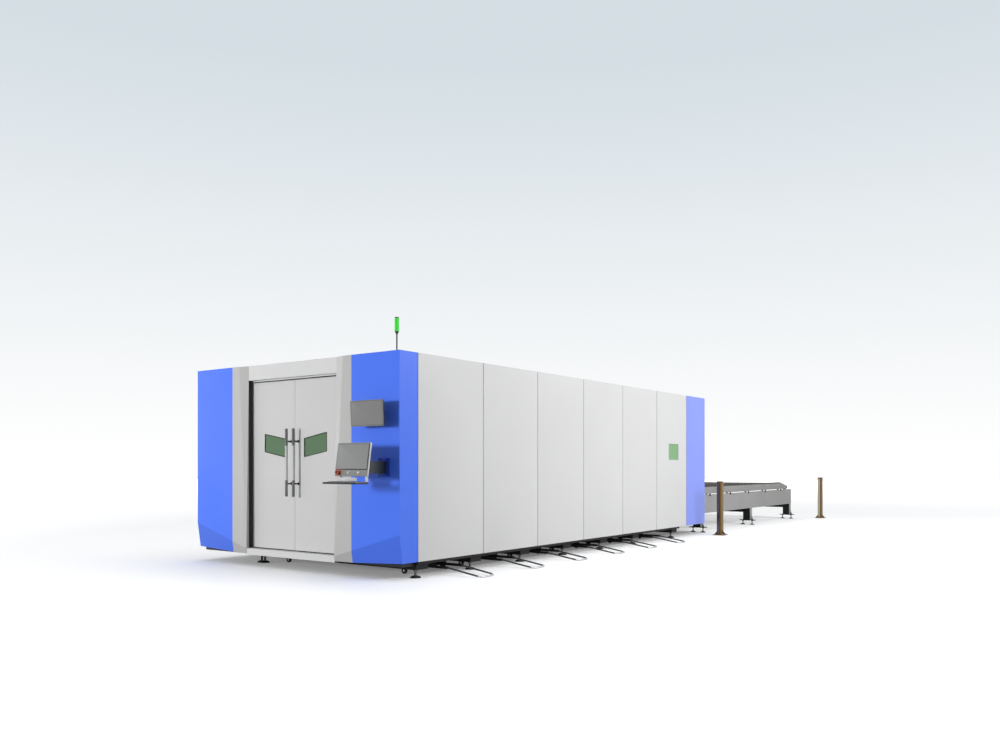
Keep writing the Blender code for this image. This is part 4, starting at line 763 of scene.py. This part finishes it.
# %% Tray, ears and keyboard
tray_place, tray_width, tray_depth = at(-0.556, -0.849, 1.012), 0.473, 0.21
tray_layers = [(0.006, 0.0), (0.002, 0.001), (0.0, 0.004), (0.0, 0.017), (0.001, 0.0192), (0.003, 0.02),
               (0.0055, 0.0192), (0.0065, 0.0165)]
tray_top = plate(box_corners(tray_width, tray_depth), 0.022, tray_layers, tray_place, X, Y, steps=8)
ear = slab((0.014, 0.0643, tray_depth - 0.002, 0.009), 0.003, (0.03, 0.001), tray_place, Y, Z)
pin = turned([(0.0072, 0.0), (0.008, 0.001), (0.008, 0.029), (0.0072, 0.03)],
             tray_place + 0.216 * Y + 0.0693 * Z, X, 18)
ears = repeated(joined(ear, pin), [0.03 * X, 0.413 * X])
cover = slab((0.012, 0.036, tray_depth - 0.001, 0.028), 0.003, (0.226, 0.001), tray_place + 0.058 * X, Y, Z)
piece("tray_plate", tray_top, tray_black, "tray", ["keyboard_tray"])
piece("tray_hinge", joined(ears, cover), pale_frame, "tray", ["keyboard_tray"])
board = slab((0.4, 0.13, 0.03, 0.04), 0.006, (0.0065, 0.0015), tray_place + 0.0165 * Z, X, Y)
key = plate(box_corners(0.02, 0.019), 0.0025, [(0.0, 0.0), (0.0, 0.001), (0.0022, 0.0034)],
            tray_place + 0.0375 * X + 0.048 * Y + 0.0228 * Z, X, Y, steps=2)
keys = repeated(key, [0.0237 * i * X + 0.0236 * j * Y for i in range(16) for j in range(5)])
piece("keyboard_body", board, housing_plastic, "tray")
piece("keyboard_keys", keys, tray_black, "tray")

# %% [markdown]
# ## Second monitor
# The upper screen leans forward on a knuckle. It is built in its own plane like the console: a grey
# front, a smaller dark shell behind it, and a fine seam round the glass.

# %% Second monitor
monitor_origin = at(-0.55, -0.4416, 1.6096)
monitor_up, _, monitor_plate = leaning_plane(monitor_origin, math.radians(-3.5))
monitor_corners = box_corners(0.47, 0.272)
piece("monitor_front", monitor_plate(monitor_corners, 0.006, soft_edges(0.004, 0.0012), -0.004),
      monitor_plastic, "second_monitor", ["monitor"])
shell_corners = box_corners(0.469, 0.271, 0.0005, 0.0005)
shell_layers = [(0.03, -0.0398), (0.024, -0.0388), (0.008, -0.03), (0.002, -0.026), (0.0, -0.023),
                (0.0, -0.0035)]
piece("monitor_shell", monitor_plate(shell_corners, 0.032, shell_layers, 0.0), black_steel, "second_monitor")
bead = gasket(box_corners(0.448, 0.25, 0.011, 0.011), monitor_origin, X, monitor_up, 0.002, 0.0006, 0.004)
piece("monitor_seam", bead, rubber, "second_monitor")

# %% [markdown]
# ## Signal tower
# A green lens stands on a thin pole. Its outline is a smooth tube with shallow ribs, which a lamp's lens
# has so that it shines evenly: the radius is the lens's own less a small cosine of the height.

# %% Signal tower
tower_place = at(-0.21, -0.1, 0)
lens_foot, lens_top, lens_radius = 2.633, 2.766, 0.0258
rib_depth, rib_pitch = 0.0007, 0.0133
rib_height = np.linspace(lens_foot, lens_top, 67)
rib_radius = lens_radius - rib_depth * (1 - np.cos(2 * np.pi * (rib_height - lens_foot) / rib_pitch))
ribs = np.stack([rib_radius, rib_height], axis=1)
lens_rims = ([(0.023, 2.629), (0.0258, 2.632)], [(0.0258, 2.767), (0.0235, 2.7715)])
piece("lamp_lens", turned(np.concatenate([lens_rims[0], ribs, lens_rims[1]]), tower_place, Z, 32), lamp_lens,
      "machine", ["signal_lamp"])
cone = [(0.0085, 2.6003), (0.0105, 2.601), (0.016, 2.616), (0.0242, 2.628), (0.0242, 2.6305)]
crown = [(0.0238, 2.7712), (0.0244, 2.7725), (0.0228, 2.779), (0.0165, 2.7842), (0.008, 2.7853)]
piece("lamp_holder", joined(turned(cone, tower_place, Z, 32), turned(crown, tower_place, Z, 32)), black_steel,
      "machine", ["signal_lamp"])
pole = [(0.0295, 2.3953), (0.03, 2.3965), (0.03, 2.4035), (0.028, 2.406), (0.0165, 2.4085), (0.0145, 2.42),
        (0.0085, 2.424), (0.008, 2.426), (0.008, 2.6)]
piece("lamp_pole", turned(pole, tower_place, Z, 28), black_steel, "machine", ["signal_pole"])

# %% [markdown]
# ## Levelling feet
# The bed and the table stand on threaded studs with black rubber pads. A thread is a profile
# whose radius swings with the height, which looks right at this size without a true helix. One foot is
# worked out and then repeated at every place by adding all shifts at once. The lines of legs recur at
# other pieces of the table, so they have a name.

# %% Feet
def stud(radius, foot, top, pitch=0.004):
    """A threaded stud: at every half pitch of its height the radius is full or 7% less, by turns."""
    height = np.linspace(foot, top, 1 + 2 * round((top - foot) / pitch))
    swing = 1 - 0.07 * (np.arange(len(height)) % 2)
    return turned(np.stack([radius * swing, height], axis=1), corner, Z, 14)


def nut(radius, foot, height):
    """A hexagon nut: six sides with both rims chamfered."""
    rim = [(radius * 0.92, foot), (radius, foot + 0.002), (radius, foot + height - 0.002),
           (radius * 0.92, foot + height)]
    return turned(rim, corner, Z, 6)


bed_left = plan_box("exchange_leg_frame_1")[0][0] + 0.028
foot_lines = [0.03 + start for start in (0, 0.945, 1.955, 2.965, 3.975, 4.985, 6.379)]
bed_places = [(x, y) for y in foot_lines for x in (-0.06, bed_left + 0.06)]
bed_places += [(-3.408, y) for y in foot_lines[2:]]
leg_lines = (7.83, 10.355, 12.88)
bed_shifts = [(x, y, 0) for x, y in bed_places]
leg_shifts = [(x, y, 0) for y in leg_lines for x in (-0.275, -0.085, -2.575, -2.385)]
bed_pad = [(0.0598, 0.0), (0.0598, 0.005), (0.056, 0.009), (0.043, 0.0215), (0.024, 0.025), (0.015, 0.026)]
leg_pad = [(0.0502, 0.0), (0.0502, 0.003), (0.046, 0.007), (0.018, 0.023), (0.013, 0.024)]
bed_stud = joined(stud(0.0152, 0.02, 0.086), nut(0.024, 0.068, 0.0165))
leg_stud = joined(stud(0.01, 0.02, 0.086), nut(0.018, 0.071, 0.0135))
for kind, shape, pad, sides, shifts in (("bed", bed_stud, bed_pad, 32, bed_shifts),
                                        ("leg", leg_stud, leg_pad, 28, leg_shifts)):
    piece(f"{kind}_foot_studs", repeated(shape, shifts), dark_steel)
    piece(f"{kind}_foot_pads", repeated(turned(pad, corner, Z, sides), shifts), rubber)

# %% [markdown]
# ## Slag carts
# Six carts stand under the bed, and each has a low U-shaped tow handle that lies on the floor. The
# handle is a bar carried along a path with round corners: black legs, and a zinc-plated end to pull at.
# The wheels are turned tyres with a bright hub.

# %% Tow handles
hitch_x, hinge_z, tow_tip, leg_side, corner_radius = 0.06, 0.08, 0.52, 0.1307, 0.065
cart_places = 0.55 + 1.01 * np.arange(6)
hinge_point = np.array([hitch_x, 0, hinge_z])
leg_radius, grip_radius, floor_gap = 0.0096, 0.00995, 0.0101
tip_point = np.array([tow_tip, 0, floor_gap])
down = (tip_point - hinge_point) / np.linalg.norm(tip_point - hinge_point)
corner_turn = np.linspace(0, np.pi / 2, 9)[:, None]
corner_curve = tip_point - corner_radius * down + corner_radius * (np.sin(corner_turn) * down
                                                                   + (1 - np.cos(corner_turn)) * Y)
leg_curve = hinge_point + np.linspace(0, 0.96, 5)[:, None] * (corner_curve[0] - hinge_point)
leg_curve = np.concatenate([leg_curve, corner_curve[:3]]) - leg_side * Y
end_curve = corner_curve[2:] - leg_side * Y
end_path = np.concatenate([end_curve, end_curve[::-1] * [1, -1, 1]])
flat_of_handle = np.cross(Y, down)
handle_legs = [tube(corner + leg_curve * [1, side, 1], leg_radius, flat_of_handle, 16) for side in (1, -1)]
handle_end = tube(corner + end_path, grip_radius, flat_of_handle, 16)
eye = [(0.0148, 0.0), (0.016, 0.0012), (0.016, 0.0188), (0.0148, 0.02)]
eyes = [turned(eye, at(hitch_x, side * 0.1407, hinge_z), -side * Y, 22) for side in (-1, 1)]
for number, place in enumerate(cart_places, start=1):
    piece(f"tow_handle_{number}", repeated(joined(*handle_legs, *eyes), [place * Y]), black_steel,
          f"tow_{number}", [f"cart_handle_{number}"])
    piece(f"tow_grip_{number}", repeated(handle_end, [place * Y]), zinc, f"tow_{number}",
          [f"cart_handle_{number}"])

# %% Cart wheels
tyre = [(0.026, 0.0), (0.0345, 0.0008), (0.036, 0.0025), (0.036, 0.02), (0.0345, 0.022), (0.029, 0.0226),
        (0.027, 0.0215), (0.014, 0.0215)]
hub = [(0.0135, 0.021), (0.0135, 0.0228), (0.0115, 0.0238), (0.006, 0.024)]
cart_start, cart_run, wheel_side, axle_height = -0.33, 2.05, 0.32, 0.036
wheel_places = [(cart_start - share * cart_run, side) for share in (0.03, 0.97) for side in (-1, 1)]
tyres, hubs = (joined(*(turned(profile, at(x, side * wheel_side, axle_height), side * Y, sides)
                        for x, side in wheel_places)) for profile, sides in ((tyre, 28), (hub, 16)))
for number, place in enumerate(cart_places, start=1):
    piece(f"cart_tyres_{number}", repeated(tyres, [place * Y]), rubber, f"cart_{number}")
    piece(f"cart_hubs_{number}", repeated(hubs, [place * Y]), zinc, f"cart_{number}")

# %% [markdown]
# ## Pallets
# The sheets lie on thin steel slats with saw teeth, so that the beam meets as little metal as possible.
# One slat is an outline of teeth worked out at once, given a thickness, and then repeated along the
# pallet. Each slat ends in two small holders. The rails slope down at the far end and end in a
# coupling hook, and under the slats run cross beams. The pallet inside the cabin is the same, one travel
# further in and one level lower.

# %% Pallet rails and beams
pallet_low, pallet_high = plan_box("exchange_pallet")
rail_width, slope_run, nose = 0.05, 0.42, 0.08
start, end, foot, top = pallet_low[1], pallet_high[1], pallet_low[2], pallet_high[2]
tip = end + nose
rail_outline = [(start, foot), (tip - 0.025, foot), (tip, foot + 0.03), (tip, top - 0.12),
                (tip - 0.03, top - 0.082), (end - slope_run, top), (start, top)]
rail_lefts = (pallet_low[0], pallet_high[0] - rail_width)
rail_edges = soft_edges(rail_width, 0.003)
rails = joined(*(plate(rail_outline, 0.004, rail_edges, at(x, 0, 0), Y, Z) for x in rail_lefts))
# A dark strip lines the top of each rail's sides, and the coupling hooks take the same dark colour.
edge_height, proud = 0.022, 0.0008
flat_edge = (end - slope_run - start + 0.001, edge_height, start - proud / 2, top - edge_height)
edges = joined(*(slab(flat_edge, 0.0015, (rail_width + 2 * proud, 0.0012), at(x - proud, 0, 0), Y, Z)
                 for x in rail_lefts))
beam_width, beam_height, beam_sink = 0.06, 0.04, 0.002
beam_starts = np.linspace(start, end - beam_width, 7)
beam_run = rail_lefts[1] - rail_lefts[0] - rail_width + 2 * beam_sink
beam = slab((beam_width, beam_height), 0.006, (beam_run, 0.0005),
            at(rail_lefts[0] + rail_width - beam_sink, 0, foot), Y, Z)
beams = repeated(beam, [y * Y for y in beam_starts])
hook = (0.178, 0.022, end - 0.1, foot - 0.0195)
hooks = joined(*(slab(hook, 0.006, (0.014, 0.002), at(x, 0, 0), Y, Z)
                 for x in (rail_lefts[0] + 0.0355, rail_lefts[1] + 0.0005)))
print("pallet beams at", (beam_starts - start).round(2))

# %% Toothed slats
slat_left, slat_right = rail_lefts[0] + rail_width + 0.001, rail_lefts[1] - 0.001
slat_foot, tooth_tip, tooth_height, tooth_count = foot + 0.046, top - 0.0041, 0.02, 40
slat_count, slat_gap, half_slat = 55, 0.1, 0.002
tooth_pitch = (slat_right - slat_left) / tooth_count
roots = slat_right - tooth_pitch * np.arange(tooth_count)
root_height = tooth_tip - tooth_height
teeth = np.stack([np.stack([roots, np.full(tooth_count, root_height)], axis=1),
                  np.stack([roots - tooth_pitch / 2, np.full(tooth_count, tooth_tip)], axis=1)],
                 axis=1).reshape(-1, 2)
slat_outline = np.concatenate([[(slat_left, slat_foot), (slat_right, slat_foot)], teeth,
                               [(slat_left, root_height)]])
slat_flat = corner + slat_outline[:, :1] * X + slat_outline[:, 1:] * Z
slat = lofted(slat_flat[None] + np.array([half_slat, -half_slat])[:, None, None] * Y)
slat_shifts = [y * Y for y in start + 0.03 + slat_gap * np.arange(slat_count)]
slats = repeated(slat, slat_shifts)
holder_box = box_corners(0.016, 0.04, -0.008, slat_foot - 0.003)
holder_layers = [(0, 0), (0, 0.026), (0.0015, 0.028)]
holder_pair = [plate(holder_box, 0.003, holder_layers, at(x, 0, 0), across, Z, steps=2)
               for x, across in ((slat_left - 0.001, Y), (slat_right + 0.001, -Y))]
holders = repeated(joined(*holder_pair), slat_shifts)
pallet_travel, level_drop = 6.24, 0.23
pallet_parts = (("rails", rails, pallet_paint, "table_paint"), ("edges", edges, dark_edge, "black_paint"),
                ("hooks", hooks, dark_edge, "black_paint"), ("beams", beams, pallet_paint, "table_paint"),
                ("slats", slats, slat_steel, "slat_steel"), ("holders", holders, pallet_steel, "slat_steel"))
for pallet, node, shift in (("outer_pallet", "exchange_pallet", (0, 0, 0)),
                            ("inner_pallet", "cabin_pallet", (0, -pallet_travel, -level_drop))):
    for kind, shape, material, slot in pallet_parts:
        piece(f"{pallet}_{kind}", repeated(shape, [shift]), material, pallet, [node])

# %% [markdown]
# ## Exchange table
# The pallets roll on black guide rollers at two levels, on the inner faces of the table's side beams.
# Each roller's bolt shows as a hexagon head outside. The CAD beams stay.

# %% Guide rollers
beam_outer, beam_inner, table_middle = -0.13, -0.175, -1.33
first_roller, roller_bay, post_width = 6.74, 6.11, 0.052
roller_ys = first_roller + (roller_bay - post_width) / 6 * (np.arange(6) + 0.5)
upper_level, lower_level, bolt_drop = 0.6537, 0.4237, 0.017
roller = [(0.02, 0.0), (0.0255, 0.0006), (0.0262, 0.0016), (0.0262, 0.031), (0.025, 0.0345),
          (0.023, 0.0348), (0.012, 0.0335), (0.01, 0.0345)]
bolt = [(0.015, 0.0), (0.015, 0.0016), (0.0118, 0.0018), (0.0118, 0.0085), (0.0108, 0.0092)]
rollers, bolts = [], []
for side in (1, -1):
    mirror = (lambda x: x) if side == 1 else (lambda x: 2 * table_middle - x)
    for level, bolt_level in ((upper_level, upper_level - bolt_drop), (lower_level, lower_level)):
        for y in roller_ys:
            rollers.append(turned(roller, at(mirror(beam_inner + 0.001), y, level), -side * X, 28))
            bolts.append(turned(bolt, at(mirror(beam_outer), y, bolt_level), side * X, 6))
cap_disc = [(0.028, 0.0), (0.028, 0.008), (0.0262, 0.0105), (0.012, 0.011), (0.011, 0.015),
            (0.008, 0.016)]
discs = [turned(cap_disc, at(x, y, 0.664), out * X, 24) for y in roller_ys
         for x, out in ((beam_outer - 0.001, 1), (2 * table_middle - beam_outer + 0.001, -1))]
piece("guide_rollers", joined(*rollers), rubber)
piece("roller_caps", joined(*discs), rubber)
strip = slab((6.3, 0.008, 6.722, 0.6602), 0.002, (0.043, 0.0015), at(beam_inner + 0.001, 0, 0), Y, Z)
piece("table_wear_strips", repeated(strip, [0 * X, -2.313 * X]), table_paint)
piece("roller_bolts", joined(*bolts), zinc)

# %% Leg plates
leg_face, plate_foot, plate_top, rib_reach, rib_top = -0.11, 0.098, 0.332, 0.05, 0.21
side_plate = slab((0.12, plate_top - plate_foot, -0.06, plate_foot), 0.004, (0.005, 0.001),
                  at(leg_face - 0.0005, 0, 0), Y, Z)
rib = [(leg_face, plate_foot), (leg_face + rib_reach, plate_foot), (leg_face + rib_reach, plate_foot + 0.006),
       (leg_face + 0.004, rib_top), (leg_face, rib_top)]
ribs = [plate(outline, 0.0015, soft_edges(0.01, 0.001), at(0, 0.005, 0), X, Z)
        for outline in (rib, flipped(rib, table_middle))]
plates = joined(side_plate, repeated(side_plate, [-2.4445 * X]), *ribs)
piece("leg_side_plates", repeated(plates, [y * Y for y in leg_lines]), table_paint)

# %% [markdown]
# ## Light-curtain posts
# Two anodised aluminium posts guard the side of the exchange table. A post is an extruded profile, so
# its section is drawn once, with a wide slot for the lens and narrow assembly slots on the other sides,
# and carried upwards. It stands on a plate with two gussets and four bolts.

# %% Posts
def post_section(half=0.045, corner=0.004, steps=4):
    """A side of the profile, turned by quarter turns: slot, straight, rounded corner."""
    t = np.linspace(-np.pi / 2, 0, steps)
    arc = np.stack([half - corner + corner * np.cos(t), -half + corner + corner * np.sin(t)], axis=1)
    sides = []
    lens_slot, narrow_slot = (0.017, 0.012), (0.004, 0.007)
    for quarter, (slot_half, slot_deep) in enumerate((lens_slot, narrow_slot, narrow_slot, narrow_slot)):
        slot = [(-slot_half, -half), (-slot_half, -half + slot_deep), (slot_half, -half + slot_deep),
                (slot_half, -half)]
        flat = np.concatenate([slot, arc])
        c, s = np.cos(quarter * np.pi / 2), np.sin(quarter * np.pi / 2)
        sides.append(flat @ np.array([[c, s], [-s, c]]))
    return np.concatenate(sides)


column_top = 0.922
column = upright(post_section(), 0.0105, column_top, np.zeros(3))
base = slab((0.2, 0.2, -0.1, -0.1), 0.012, (0.012, 0.0015), np.zeros(3), X, Y)
gusset = [(0.044, 0.011), (0.0985, 0.011), (0.0985, 0.016), (0.049, 0.082), (0.044, 0.082)]
gussets = [plate(outline, 0.002, soft_edges(0.01, 0.001), 0.005 * Y, X, Z)
           for outline in (gusset, flipped(gusset))]
cap = slab((0.0896, 0.0896, -0.0448, -0.0448), 0.005, (0.008, 0.002), column_top * Z, X, Y)
lens = slab((0.05, 0.87, -0.041, 0.03), 0.004, (0.0035, 0.0015), -0.0448 * Y, X, Z)
anchor = [(0.013, 0.0), (0.013, 0.002), (0.01, 0.0022), (0.01, 0.009), (0.009, 0.0098)]
anchor_row, base_top = (-0.078, 0.078), 0.012
anchors = joined(*(turned(anchor, np.array([x, y, base_top]), Z, 6) for x in anchor_row for y in anchor_row))
for name, y, glass in (("front", 7.42, lens_dark), ("rear", 13.47, lens_cream)):
    for kind, shape, material, slot in (("column", joined(column, base, *gussets), bronze, "post_bronze"),
                                        ("cap", cap, black_steel, "post_bronze"),
                                        ("lens", lens, glass, "post_bronze"),
                                        ("anchors", anchors, zinc, "steel")):
        piece(f"post_{kind}_{name}", repeated(shape, [at(0.4, y, 0)]), material, "machine",
              [f"light_post_{name}"])

# %% [markdown]
# ## Gantry and cutting head
# Inside, the gantry spans the bed and carries the head. The head is a stack of turned modules on a slide
# plate: collimator, focusing barrel, protective-window drawer and a copper nozzle. Open doors show it,
# so it gets the same care as the outside.

# %% Cutting head
head_x, head_y = table_middle, plan_box("cutting_head")[0][1] + 0.055
barrel = [(0.0235, 1.5695), (0.0245, 1.566), (0.0245, 1.552), (0.04, 1.55), (0.0415, 1.547), (0.0415, 1.486),
          (0.04, 1.484), (0.04, 1.474), (0.053, 1.472), (0.0545, 1.469), (0.0545, 1.395), (0.053, 1.393),
          (0.05, 1.391), (0.05, 1.383), (0.053, 1.381), (0.0545, 1.378), (0.0545, 1.262), (0.053, 1.26),
          (0.048, 1.258), (0.048, 1.212), (0.053, 1.21), (0.0545, 1.207), (0.0545, 1.152), (0.053, 1.149),
          (0.03, 1.095), (0.024, 1.085)][::-1]
piece("head_barrel", turned(barrel, at(head_x, head_y, 0), Z, 36), housing_plastic, "head", ["cutting_head"])
nozzle = [(0.004, 1.0003), (0.0052, 1.0006), (0.012, 1.018), (0.0125, 1.02), (0.0125, 1.038),
          (0.014, 1.04), (0.02, 1.042), (0.021, 1.045), (0.021, 1.072), (0.02, 1.075),
          (0.0235, 1.078), (0.0245, 1.085)]
piece("head_nozzle", turned(nozzle, at(head_x, head_y, 0), Z, 32), copper, "head", ["cutting_head"])
slide = slab((0.16, 0.38, head_x - 0.08, 1.15), 0.008, (0.03, 0.002), at(0, 1.1493, 0), X, Z)
piece("head_slide", slide, bright_steel, "head", ["cutting_head"])
drawer = slab((0.074, 0.038, head_x - 0.037, 1.216), 0.004, (0.055, 0.003), at(0, head_y, 0), X, Z)
piece("head_window_drawer", drawer, black_steel, "head", ["cutting_head"])

# %% Gantry dressing
beam_top, chain_left, chain_right, chain_front, chain_width = 1.4383, -2.3, -0.36, 1.33, 0.12
chain_floor = slab((chain_right - chain_left, chain_width, chain_left, chain_front), 0.004, (0.003, 0.001),
                   at(0, 0, beam_top), X, Y)
chain_wall = slab((chain_right - chain_left, 0.003, chain_left, chain_front), 0.0012, (0.045, 0.0005),
                  at(0, 0, beam_top), X, Y)
chain_walls = repeated(chain_wall, [0 * Y, 0.117 * Y])
piece("chain_channel", joined(chain_floor, chain_walls), zinc, "gantry")
link = slab((0.044, 0.034, -0.022, 0.0035), 0.006, (0.094, 0.003, 2), at(0, 1.437, beam_top), X, Z, 3)
first_link, link_pitch, link_count = -2.26, 0.047, 40
piece("drag_chain", repeated(link, [(first_link + link_pitch * number) * X for number in range(link_count)]),
      chain_plastic, "gantry")
plate_bolt = [(0.008, 0.0), (0.008, 0.0055), (0.0072, 0.0065)]
bolt_places = [(x, z) for x in (-1.46, -1.2) for z in (1.19, 1.32, 1.45, 1.55)]
carriage_bolts = joined(*(turned(plate_bolt, at(x, 1.1498, z), -Y, 14) for x, z in bolt_places))
piece("carriage_bolts", carriage_bolts, zinc, "carriage")
rail_bar = slab((6.715, 0.0282, 0.002, 1.002), 0.004, (0.0304, 0.003), at(-0.1017, 0, 0), Y, Z)
piece("gantry_rails", repeated(rail_bar, [0 * X, -2.487 * X]), bright_steel)

# %% [markdown]
# ## Rear curtain and roof screws
# The passage where the pallets enter has a curtain of overlapping rubber strips. On the roof each cover
# sheet is held by a row of low screws on both sides of its joint.

# %% Rear curtain
strip = slab((0.104, 0.205, 0.0, 0.855), 0.004, (0.003, 0.001), corner, X, Z)
strip_pitch, strip_overlap, strip_count = 0.0985, 0.0045, 25
curtain = [(-2.6 + strip_pitch * number) * X + (7.648 - strip_overlap * (number % 2)) * Y
           for number in range(strip_count)]
piece("rear_curtain", repeated(strip, curtain), rubber)
screw = [(0.009, 0.0), (0.0088, 0.0018), (0.007, 0.003), (0.003, 0.0034)]
roof_joints, roof_top = 1.152 * np.arange(1, 7), 2.395
screw_places = [(x, joint + 0.04 * sign) for x in np.linspace(-3.3, -0.17, 9)
                for joint in roof_joints for sign in (-1, 1)]
screws = repeated(turned(screw, at(0, 0, roof_top), Z, 10), [(x, y, 0) for x, y in screw_places])
piece("roof_screws", screws, zinc)

# %% [markdown]
# ## Paint the frame
# Each CAD node whose shape is right keeps its mesh and takes one of these finishes. The back of the left
# wall is blue like the rear corner on the right, which one material can do by itself: a step in the
# Object Y coordinate chooses between the two paints. The door sill is pale in the doorway and black where
# it runs on under the corner panels, which a step in X does.

# %% Paints of two tones
def two_toned(name, axis, operation, limits, off_colour, on_colour):
    """A powder coat that takes one colour or the other, by a test of one Object coordinate."""
    coat = coated(name, powder_colours["light_grey_powder"], powder_rough, 0, None, powder_peel, powder_sheen,
                  Specular_IOR_Level=wall_gloss)
    place = add_node(coat, "ShaderNodeTexCoord")
    parts = add_node(coat, "ShaderNodeSeparateXYZ")
    test = add_node(coat, "ShaderNodeMath", operation=operation)
    for number, limit in enumerate(limits, start=1):
        test.inputs[number].default_value = float(limit)
    mix = colour_mix(coat, linear(*off_colour), linear(*on_colour))
    wire(coat, (place, "Object", parts, "Vector"), (parts, axis, test, 0), (test, 0, mix, "Factor"),
         (mix, mix_result, shader_of(coat), "Base Color"))
    return coat


rear_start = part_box("rear_corner_right")[0][1]
half_doorway = (jamb_right - jamb_left) / 2
# The left wall's rear part takes the same paler blue, painted light.
two_tone = two_toned("left_wall_powder", "Y", "GREATER_THAN", [rear_start],
                     powder_colours["light_grey_powder"], powder_colours["rear_blue_powder"])
sill_paint = two_toned("door_sill_powder", "X", "COMPARE", [corner[0] + door_middle, half_doorway],
                       (30, 30, 32), powder_colours["light_grey_powder"])
print("left wall changes paint at y", round(float(rear_start), 3))
print("sill is pale for", round(float(2 * half_doorway), 3), "m")

# %% Assign the finishes
node_groups = (
    (black_paint, "bed_frame signal_pole"),
    (table_paint, "exchange_frame head_carriage cutting_head"),
    (pallet_steel, "cabin_pallet exchange_pallet"),
    (powder["roof_grey_powder"], "roof_cover"),
    (powder["blue_powder"], "front_panel_left front_panel_right"),
    (powder["rear_blue_powder"], "rear_corner_right"),
    (powder["pillar_grey_powder"], "door_pillar_left door_pillar_right"),
    (powder["door_grey_powder"], "door_leaf_left door_leaf_right"),
    (powder["bracket_blue_powder"], "console_bracket"),
    (light_grey, "door_header rear_wall laser_source_cabinet gantry_beam"),
    (two_tone, "side_wall_left"), (sill_paint, "door_sill"),
    (filter_pane, "door_window_left door_window_right"), (side_pane, "side_window"),
    (bright_steel, "door_handle_left door_handle_right"),
    (tray_black, "console_arm keyboard_tray monitor_bracket"),
    (housing_plastic, "console_housing monitor"), (screen_glass, "console_screen"),
    (red_plastic, "emergency_stop"), (white_plastic, "start_button reset_button"),
    (lamp_lens, "signal_lamp"), (bronze, "light_post_front light_post_rear"),
)
node_finish = {name: material for material, names in node_groups for name in names.split()}
for name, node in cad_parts.items():
    if name.startswith("side_panel_right"):
        node_finish[name] = light_grey
    node.data.materials.clear()
    node.data.materials.append(node_finish.get(name, black_paint))
print("painted", len(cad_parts), "nodes")
